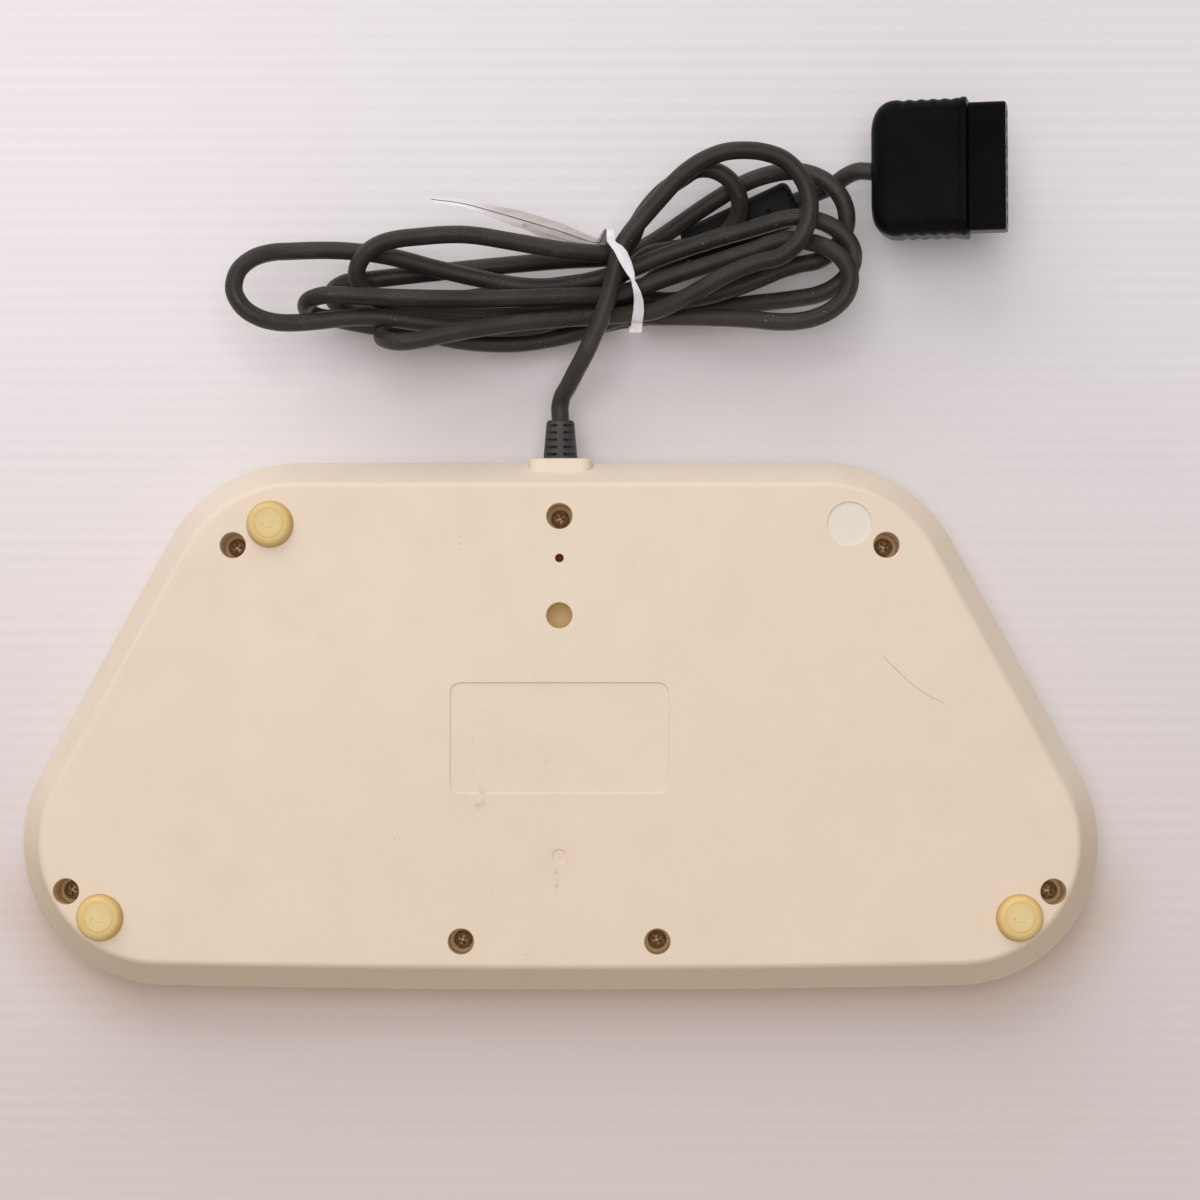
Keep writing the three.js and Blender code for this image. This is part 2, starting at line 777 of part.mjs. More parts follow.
// The points of one bight between two crossings of the tie
function bightPoints(bight, from, to) {
  const start = from[0] * crossingPitch;
  const end = to[0] * crossingPitch;
  const legEnd = bight.reach - bight.turn;
  const turnRank = bight.turnRank ?? bight.rank;
  const points = [];
  for (let step = 1; step < legSteps; step += 1) {
    const s = step / legSteps;
    const straight = start + (bight.tip + bight.first * bight.half - start) * s;
    const v = straight + bight.bow[0] * Math.sin(Math.PI * s) + bight.sway[0] * Math.sin(2 * Math.PI * s);
    const floor = Math.max(cordRadius + bight.base * s, layerZ(0) - tieFall * s);
    points.push({ u: legEnd * s, v, rank: bight.rank[0], floor });
  }
  for (let step = 0; step <= turnSteps; step += 1) {
    const angle = step / turnSteps * Math.PI;
    const share = (1 - Math.cos(angle)) / 2;
    points.push({
      u: legEnd + bight.turn * Math.sin(angle),
      v: bight.tip + bight.first * bight.half * Math.cos(angle),
      rank: turnRank[0] + (turnRank[1] - turnRank[0]) * share,
      floor: cordRadius,
      pin: bight.stand > 0 ? cordRadius + bight.base + bight.stand * share : undefined,
    });
  }
  for (let step = legSteps - 1; step > 0; step -= 1) {
    const s = step / legSteps;
    const straight = end + (bight.tip - bight.first * bight.half - end) * s;
    const v = straight + bight.bow[1] * Math.sin(Math.PI * s) + bight.sway[1] * Math.sin(2 * Math.PI * s);
    const floor = cordRadius + (bight.base + bight.stand) * s;
    points.push({ u: legEnd * s, v, rank: bight.rank[1], floor });
  }
  return points.map((point) => ({
    x: tieX - bight.side * point.u,
    y: tieY + point.v,
    rank: point.rank,
    floor: point.floor,
    pin: point.pin,
  }));
}

// The whole hank: hand-placed ends, and the bights between
const hankStart = [[-9.1, 108.2, 5.8], [-11.3, 113.0, 5], [-14.7, 123.5, 4.3]];
const hankEnd = [[-23.5, 124.9, 22.5], [-27.8, 128.4, 22.7]];

function waistPoint(crossing) {
  const [across, layer] = waistShares[crossing];
  return { x: tieX, y: tieY + across * crossingPitch, rank: layer, floor: layerZ(0), pin: layerZ(layer) };
}

function hankPoints() {
  const points = hankStart.map(([x, y, z]) => ({ x, y, rank: -1, floor: z, pin: z }));
  bights.forEach((bight, i) => {
    points.push(waistPoint(i));
    points.push(...bightPoints(bight, waistShares[i], waistShares[i + 1]));
  });
  points.push(waistPoint(bights.length));
  points.push(...hankEnd.map(([x, y, z]) => ({ x, y, rank: 9, floor: z, pin: z })));
  return points;
}

// Fine points along the route, each with its rank, and pinned where the tie or an end holds it
function finePoints(points) {
  const plan = new THREE.CatmullRomCurve3(
    points.map((point) => new THREE.Vector3(point.x, point.y, point.pin ?? point.floor)),
    false,
    'centripetal',
  );
  const last = points.length - 1;
  const fine = [];
  for (let i = 0; i <= last * fineSteps; i += 1) {
    const at = Math.min(Math.floor(i / fineSteps), last - 1);
    const share = i / fineSteps - at;
    const place = plan.getPoint(i / fineSteps / last);
    const blend = (key) => points[at][key] + (points[at + 1][key] - points[at][key]) * share;
    const pinned = points[at].pin !== undefined && points[at + 1].pin !== undefined;
    fine.push({
      x: place.x,
      y: place.y,
      rank: blend('rank'),
      floor: blend('floor'),
      pin: pinned ? place.z : undefined,
    });
  }
  let along = 0;
  fine.forEach((point, i) => {
    if (i > 0) {
      along += Math.hypot(point.x - fine[i - 1].x, point.y - fine[i - 1].y);
    }
    point.along = along;
  });
  points.forEach((point, i) => {
    const place = fine[i * fineSteps];
    if (point.pin !== undefined) {
      fine.filter((near) => near.pin === undefined && Math.abs(near.along - place.along) <= pinReach)
        .forEach((near) => { near.pin = point.pin; });
    }
  });
  return fine;
}

// Pairs of fine points that overlap in plan: [upper, lower, least rise between them]
function crossingPairs(fine) {
  const pairs = [];
  for (let i = 0; i < fine.length; i += 1) {
    for (let j = i + 1; j < fine.length; j += 1) {
      const apart = Math.hypot(fine[i].x - fine[j].x, fine[i].y - fine[j].y);
      if (apart < crossingPitch && fine[j].along - fine[i].along > nearbyAlong) {
        const rise = Math.sqrt(crossingPitch * crossingPitch - apart * apart);
        pairs.push(fine[i].rank > fine[j].rank ? [i, j, rise] : [j, i, rise]);
      }
    }
  }
  return pairs;
}

// Heights: every strand is drawn straight between its supports, sags, and stays off those it crosses
function settled(fine) {
  const pairs = crossingPairs(fine);
  const heights = fine.map((point) => point.pin ?? point.floor + point.rank * cordPitch);
  const held = (z, i) => fine[i].pin ?? Math.max(z, fine[i].floor);
  for (let pass = 0; pass < settlePasses; pass += 1) {
    const before = heights.slice();
    const give = pass < givingPasses ? 0.5 : 0;
    const near = (i) => before[Math.min(Math.max(i, 0), before.length - 1)];
    before.forEach((z, i) => {
      let sum = z;
      for (let k = 1; k <= easeSteps; k += 1) {
        sum += near(i - k) + near(i + k);
      }
      heights[i] = held(sum / (2 * easeSteps + 1) - sag, i);
    });
    for (const [upper, lower, rise] of pairs) {
      const short = rise - (heights[upper] - heights[lower]);
      if (short > 0) {
        heights[lower] = held(heights[lower] - give * short, lower);
        heights[upper] = held(heights[lower] + rise, upper);
        heights[lower] = held(Math.min(heights[lower], heights[upper] - rise), lower);
      }
    }
  }
  return fine.map((point, i) => new THREE.Vector3(point.x, point.y, heights[i]));
}

// The least clear distance of a tube to itself, measured on its centre line between its rings
function leastGap(rings, diameter) {
  const path = rings.slice(0, -1).flatMap((ring, i) => (
    Array.from({ length: gapSamples }, (_, k) => ring.clone().lerp(rings[i + 1], k / gapSamples))
  ));
  const along = [0];
  for (let i = 1; i < path.length; i += 1) {
    along.push(along[i - 1] + path[i].distanceTo(path[i - 1]));
  }
  let least = Infinity;
  for (let i = 0; i < path.length; i += 1) {
    for (let j = i + 1; j < path.length; j += 1) {
      if (along[j] - along[i] > nearbyAlong) {
        least = Math.min(least, path[i].distanceTo(path[j]));
      }
    }
  }
  return least - diameter;
}

// A round tube along a smooth line through the points
function tube(points, steps, sides) {
  const path = new THREE.CatmullRomCurve3(points, false, 'centripetal');
  path.arcLengthDivisions = steps * tubeDivisions;
  const section = Array.from({ length: sides }, (_, i) => {
    const angle = 2 * Math.PI * i / sides;
    return new THREE.Vector2(cordRadius * Math.cos(angle), cordRadius * Math.sin(angle));
  });
  const geometry = new THREE.ExtrudeGeometry(new THREE.Shape(section), { steps, extrudePath: path });
  return { body: solid(geometry), rings: path.getSpacedPoints(steps) };
}

function vectors(list) {
  return list.map(([x, y, z]) => new THREE.Vector3(x, y, z));
}

function heading(turn, dip) {
  const across = THREE.MathUtils.degToRad(turn);
  const down = THREE.MathUtils.degToRad(dip);
  return new THREE.Vector3(
    Math.cos(down) * Math.cos(across),
    Math.cos(down) * Math.sin(across),
    -Math.sin(down),
  );
}

// Two points off a face: one a seat gap away from it, and one a cord diameter further
function squareOff(face, outward) {
  return [seatGap, seatGap + cordDiameter].map((distance) => face.clone().addScaledVector(outward, distance));
}

// Free stretches of the cord: hand-placed points between square ends
const reliefFace = new THREE.Vector3(0, reliefEndY, rimZ);
const plugFace = new THREE.Vector3(...plugPlace);
const plugAxis = heading(plugTurn, plugDip);
const ferriteAxis = heading(ferriteTurn, ferriteDip);
const leadPoints = [[-2.4, 95.8, 13.2], [-5.2, 100.6, 8.8]];
const tailPoints = [[-76.8, 153, 18.2]];

function leadTube() {
  const [first, second] = vectors(hankStart);
  return tube([
    ...squareOff(reliefFace, new THREE.Vector3(0, 1, 0)),
    ...vectors(leadPoints),
    ...squareOff(first, first.clone().sub(second).normalize()).reverse(),
  ], leadSteps, cordSides).body;
}

function tailTube() {
  const [before, last] = vectors(hankEnd);
  const middle = new THREE.Vector3(...ferritePlace);
  const straight = [-1, -0.5, 0, 0.5, 1].map((share) => (
    middle.clone().addScaledVector(ferriteAxis, share * (ferriteLength / 2 + ferriteEdge))
  ));
  return tube([
    ...squareOff(last, last.clone().sub(before).normalize()),
    ...straight,
    ...vectors(tailPoints),
    ...squareOff(plugFace, plugAxis.clone().negate()).reverse(),
  ], tailSteps, cordSides).body;
}

// The inner end, chosen point by point from the middle of the relief's root
const innerPoints = [
  [0, -3.3, 0], [1.4, -5.4, -0.7], [5.8, -7.9, -2.2], [10.5, -12.3, -3.6], [13.3, -17.3, -2.2],
];

function innerTube() {
  const root = new THREE.Vector3(0, reliefRootY, rimZ);
  const end = new THREE.Vector3(
    socketPlace,
    backY - socketInset + socketDepth / 2,
    boardBottomZ - seatGap - socketHeight / 2,
  );
  return tube([
    root.clone().setY(reliefRootY - reliefFlangeThickness - seatGap),
    ...vectors(innerPoints).map((point) => point.add(root)),
    ...squareOff(end, new THREE.Vector3(0, 1, 0)).reverse(),
  ], leadSteps, cordSides).body;
}

// Ferrite core: a rounded block with a straight bore and two blind pin holes underneath
function ferriteCore() {
  const edge = 2 * ferriteEdge;
  const geometry = new THREE.ExtrudeGeometry(
    roundedShape(ferriteHeight - edge, ferriteWidth - edge, ferriteCorner - ferriteEdge, 2),
    {
      depth: ferriteLength - edge,
      bevelThickness: ferriteEdge,
      bevelSize: ferriteEdge,
      bevelSegments: 2,
    },
  );
  geometry.translate(0, 0, ferriteEdge - ferriteLength / 2);
  const boreEnd = ferriteLength / 2 + cutOverrun;
  const pinHoleEnd = ferriteHeight / 2 + cutOverrun;
  const pinHoles = [-ferritePinPlace, ferritePinPlace].map((place) => (
    rod(ferritePinHole, ferriteHeight / 2 - ferritePinDepth, pinHoleEnd, 0, 0, smallSides)
      .rotate([0, 90, 0])
      .translate([0, 0, place])
  ));
  return cutFrom(solid(geometry), [rod(ferriteBore, -boreEnd, boreEnd, 0, 0), ...pinHoles])
    .rotate([0, 90, 0])
    .rotate([0, ferriteDip, 0])
    .rotate([0, 0, ferriteTurn])
    .translate(ferritePlace);
}

// Twist tie: a band drawn round every strand in its reach, with two loose flat tails
function bandHull(strands, radius, width) {
  const rims = strands.flatMap(({ y, z }) => Array.from({ length: tieSides }, (_, i) => {
    const angle = 2 * Math.PI * i / tieSides;
    return [y + radius * Math.cos(angle), z + radius * Math.sin(angle)];
  }));
  return solid(new ConvexGeometry([-width / 2, width / 2].flatMap((across) => (
    rims.map(([y, z]) => new THREE.Vector3(tieX + across, y, z))
  ))));
}

function ribbon(from, to) {
  const length = Math.hypot(to[0] - from[0], to[1] - from[1]);
  const angle = THREE.MathUtils.radToDeg(Math.atan2(to[1] - from[1], to[0] - from[0]));
  return block(length, tieWidth, tieTailZ, tieTailZ + tieThickness, length / 2, 0)
    .rotate([0, 0, angle])
    .translate([from[0], from[1], 0]);
}

function twistTie(rings) {
  const strands = rings.filter((point) => Math.abs(point.x - tieX) < tieReach);
  const outer = bandHull(strands, cordRadius + seatGap + tieThickness, tieWidth);
  const inner = bandHull(strands, cordRadius + seatGap, tieWidth + 2 * cutOverrun);
  const root = [tieX, tieY];
  const knot = [tieX, Math.max(...strands.map((point) => point.y)) + cordDiameter + tieThickness];
  const joint = rod(tieWidth, tieTailZ, tieTailZ + tieThickness, ...knot);
  const tails = tieTailEnds.map((end) => ribbon(knot, end));
  return joined([outer, ribbon(root, knot), joint, ...tails]).subtract(inner);
}

// Console plug, drawn along +X from the cord's end, then laid in its place
function laid(manifold) {
  return manifold.rotate([0, plugDip, 0]).rotate([0, 0, plugTurn]).translate(plugPlace);
}

const pocketDepth = noseShank + contactBar + 2 * seatGap;
const shankWidth = noseWidth - 2 * noseStep;
const shankHeight = noseHeight - 2 * noseStep;
const noseFrontX = plugBodyLength + seatGap + noseLength;
const noseBackX = plugBodyLength - noseShank;
const contactPlaces = Array.from(
  { length: contactCount },
  (_, i) => (i - (contactCount - 1) / 2) * contactPitch,
);

function plugBody() {
  const planShape = roundedShape(2 * plugBodyLength, plugWidth, plugCorner, 3);
  const sideShape = roundedShape(2 * plugBodyLength, plugBodyHeight, plugEdge, 2);
  const frontShape = roundedShape(plugBodyHeight, plugWidth, plugEdge, 2);
  const plan = slab(planShape, -plugBodyHeight, plugBodyHeight).translate([plugBodyLength, 0, 0]);
  const side = slab(sideShape, -plugWidth, plugWidth).rotate([90, 0, 0]).translate([plugBodyLength, 0, 0]);
  const front = slab(frontShape, 0, plugBodyLength).rotate([0, 90, 0]);
  const grips = [];
  for (let grip = 0; grip < gripCount; grip += 1) {
    for (const sideY of [-1, 1]) {
      const x = gripPlace + (grip - (gripCount - 1) / 2) * gripPitch;
      const y = sideY * (plugWidth / 2 + gripPitch / 2 - gripDepth);
      grips.push(rod(gripPitch, -plugBodyHeight, plugBodyHeight, x, y, smallSides));
    }
  }
  const pocket = block(
    pocketDepth + cutOverrun,
    shankWidth + 2 * seatGap,
    -shankHeight / 2 - seatGap,
    shankHeight / 2 + seatGap,
    plugBodyLength - (pocketDepth - cutOverrun) / 2,
    0,
  );
  return laid(cutFrom(plan.intersect(side).intersect(front), [...grips, pocket]));
}

function alongX(diameter, fromX, toX, y, sides) {
  return rod(diameter, fromX, toX, 0, 0, sides).rotate([0, 90, 0]).translate([0, y, 0]);
}

function plugNose() {
  const face = slab(roundedShape(noseHeight, noseWidth, noseCorner, 2), plugBodyLength + seatGap, noseFrontX)
    .rotate([0, 90, 0]);
  const shankLength = noseShank + 2 * seatGap;
  const shankX = noseBackX + shankLength / 2;
  const shank = block(shankLength, shankWidth, -shankHeight / 2, shankHeight / 2, shankX, 0);
  const holes = contactPlaces.flatMap((y) => [
    alongX(contactHole, noseFrontX - contactHoleDepth, noseFrontX + cutOverrun, y, contactSides),
    alongX(contactPin + 2 * seatGap, noseBackX - cutOverrun, noseFrontX, y, contactSides),
  ]);
  return laid(cutFrom(face.add(shank), holes));
}

function contactStrip() {
  const barX = noseBackX - seatGap - contactBar / 2;
  const bar = block(contactBar, shankWidth - 2 * seatGap, -contactPin, contactPin, barX, 0);
  const pinEndX = noseFrontX - contactHoleDepth + contactPinLength;
  return laid(joined([bar, ...contactPlaces.map((y) => alongX(contactPin, barX, pinEndX, y, contactSides))]));
}

// The whole object
const hankFine = finePoints(hankPoints());
const hankLine = settled(hankFine).filter((_, i) => i % hankThinning === 0);
const hank = tube(hankLine, hankSteps, hankSides);
console.log(`hank: least gap to itself ${leastGap(hank.rings, cordDiameter).toFixed(2)} mm`);

const group = new THREE.Group();
group.name = 'rhythm_controller';

function add(name, manifold, material) {
  group.add(piece(name, manifold.translate([0, caseShiftY, 0]), material));
}

function addAtPlaces(base, places, manifold, material) {
  places.forEach(([x, y], i) => add(`${base}_${i + 1}`, manifold.translate([x, y, 0]), material));
}

add('bottom_case', bottomCase(), casePlastic);
add('top_case', topCase(), casePlastic);
buttonPlaces.forEach(([x, y], i) => {
  add(`play_button_${i + 1}`, buttonCap().translate([x, y, 0]), finish(buttonColours[i], 0.35, 0));
});
addAtPlaces('button_dome', buttonPlaces, rubberDome(domeBase, domeHeight, smallSides), domeRubber);
smallButtonPlaces.forEach(([x, y], i) => {
  const name = i === 0 ? 'select' : 'start';
  const dome = rubberDome(smallDomeBase, smallDomeHeight, smallSides);
  add(`${name}_button`, smallButton().translate([x, y, 0]), greyPlastic);
  add(`${name}_dome`, dome.translate([x, y, 0]), domeRubber);
});
add('circuit_board', circuitBoard(), boardLaminate);
const chipLowZ = boardTopZ + seatGap;
add('controller_chip', block(
  chipSize, chipSize, chipLowZ, chipLowZ + chipHeight, chipPlace, backY - chipInset,
), blackPlastic);
const socketTopZ = boardBottomZ - seatGap;
add('cable_socket', block(
  socketWidth, socketDepth, socketTopZ - socketHeight, socketTopZ, socketPlace, backY - socketInset,
), greyPlastic);
const boardScrew = screw(
  boardScrewHead, boardScrewHeadHeight, boardScrewShank, boardScrewLength, boardBottomZ,
);
const caseScrew = screw(screwHead, screwHeadHeight, screwShank, screwLength, seatZ);
addAtPlaces('board_screw', boardPosts, boardScrew, screwSteel);
addAtPlaces('case_screw', allWells, caseScrew, screwSteel);
addAtPlaces('rubber_foot', allFeet.filter((place) => place !== missingFoot), rubberFoot(), footRubber);
add('strain_relief', strainRelief(), greyRubber);
add('inner_cable', innerTube(), cordRubber);
add('cord_lead', leadTube(), cordRubber);
add('cord_hank', hank.body, cordRubber);
add('cord_tail', tailTube(), cordRubber);
add('ferrite_core', ferriteCore(), blackPlastic);
add('twist_tie', twistTie(hank.rings), tieFilm);
add('plug_body', plugBody(), blackPlastic);
add('plug_nose', plugNose(), blackPlastic);
add('contact_strip', contactStrip(), contactMetal);

export default group;
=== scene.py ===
"""Looks of a wide tapered game controller, seen from below: case, feet, screws, cord and plug."""
import math

import bmesh
import bpy
from mathutils import Matrix, Vector


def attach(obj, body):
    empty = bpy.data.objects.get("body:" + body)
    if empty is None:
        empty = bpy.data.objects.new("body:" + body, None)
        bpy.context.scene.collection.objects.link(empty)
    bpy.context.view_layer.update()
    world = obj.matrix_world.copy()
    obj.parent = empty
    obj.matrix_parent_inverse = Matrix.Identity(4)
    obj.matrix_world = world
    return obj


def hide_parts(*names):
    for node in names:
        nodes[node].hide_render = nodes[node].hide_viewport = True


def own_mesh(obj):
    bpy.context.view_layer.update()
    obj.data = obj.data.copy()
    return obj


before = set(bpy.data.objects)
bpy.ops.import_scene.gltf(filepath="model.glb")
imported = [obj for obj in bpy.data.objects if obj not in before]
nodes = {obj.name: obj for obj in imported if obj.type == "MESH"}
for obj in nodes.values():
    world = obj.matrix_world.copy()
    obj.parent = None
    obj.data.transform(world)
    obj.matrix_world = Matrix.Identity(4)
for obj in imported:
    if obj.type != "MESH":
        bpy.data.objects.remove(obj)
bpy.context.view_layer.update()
scene = bpy.context.scene
scene.view_settings.view_transform = "Standard"

MM = 0.001
SHIFT_Y = -0.5  # the whole case stands half a millimetre forward

# Case sizes, in millimetres
WIDTH, DEPTH = 302.0, 148.0
FRONT_R, BACK_R, BACK_STRAIGHT, BOW = 40.0, 42.0, 146.8, 1.2
UNDER_Z, RIM_Z, DECK_Z = 3.0, 17.0, 39.0
FLARE, WALL, LEAN, DECK_EDGE = 6.1, 2.4, 2.6, 7.0
WELLS = [(0, 58.1)] + [(s * x, y) for x, y in ((91, 50), (136.8, -46.2), (27.2, -60)) for s in (-1, 1)]
FEET = [(80.7, 55.9), (-127.4, -53.4), (127.4, -53.4)]
BARE_FOOT = (-80.7, 55.9)
BUTTONS = [((i - 4) * 28.5, 21.0 if i % 2 else -30.0) for i in range(9)]
SMALL_BUTTONS = [(-23, 55), (23, 55)]
BUTTON_TONES = ("white", "yellow", "green", "blue", "red", "blue", "green", "yellow", "white")
WELL_BORE, WELL_TUBE, SCREW_SEAT = 7.2, 9.4, 15.7
BLANK_WELL, PIN_HOLE, GATE_MARK = 30.4, 46.4, -36.4  # how far back each lies on the middle line
BOSS_END = DEPTH / 2 + 1 + SHIFT_Y
DOME_FLOOR = 21.9
DOME, SMALL_DOME = (19, 7.4, 3.5), (9, 3.6, 1.0)  # base, height and travel
CORD_D = 5.0

# Stage, in metres
BOARD_Z, RIB_PITCH = 0.0287, 0.0042

# Camera, in millimetres
EYE, AIM = Vector((-18.25, -7.4, -897)), Vector((-11.3, 34.2, 3))
LENS, SENSOR = 97.2, 36.0


def camera():
    """The photograph's camera: below the underside, 900 mm away, with the cord's side up."""
    data = bpy.data.cameras.new("camera")
    data.lens, data.sensor_width = LENS, SENSOR
    data.clip_start, data.clip_end = 0.01, 100.0
    cam = bpy.data.objects.new("camera", data)
    eye = EYE * MM
    back = (eye - AIM * MM).normalized()
    right = Vector((0, 1, 0)).cross(back).normalized()
    turn = Matrix((right, back.cross(right), back)).transposed()
    cam.matrix_world = Matrix.Translation(eye) @ turn.to_4x4()
    scene.collection.objects.link(cam)
    scene.camera = cam


camera()

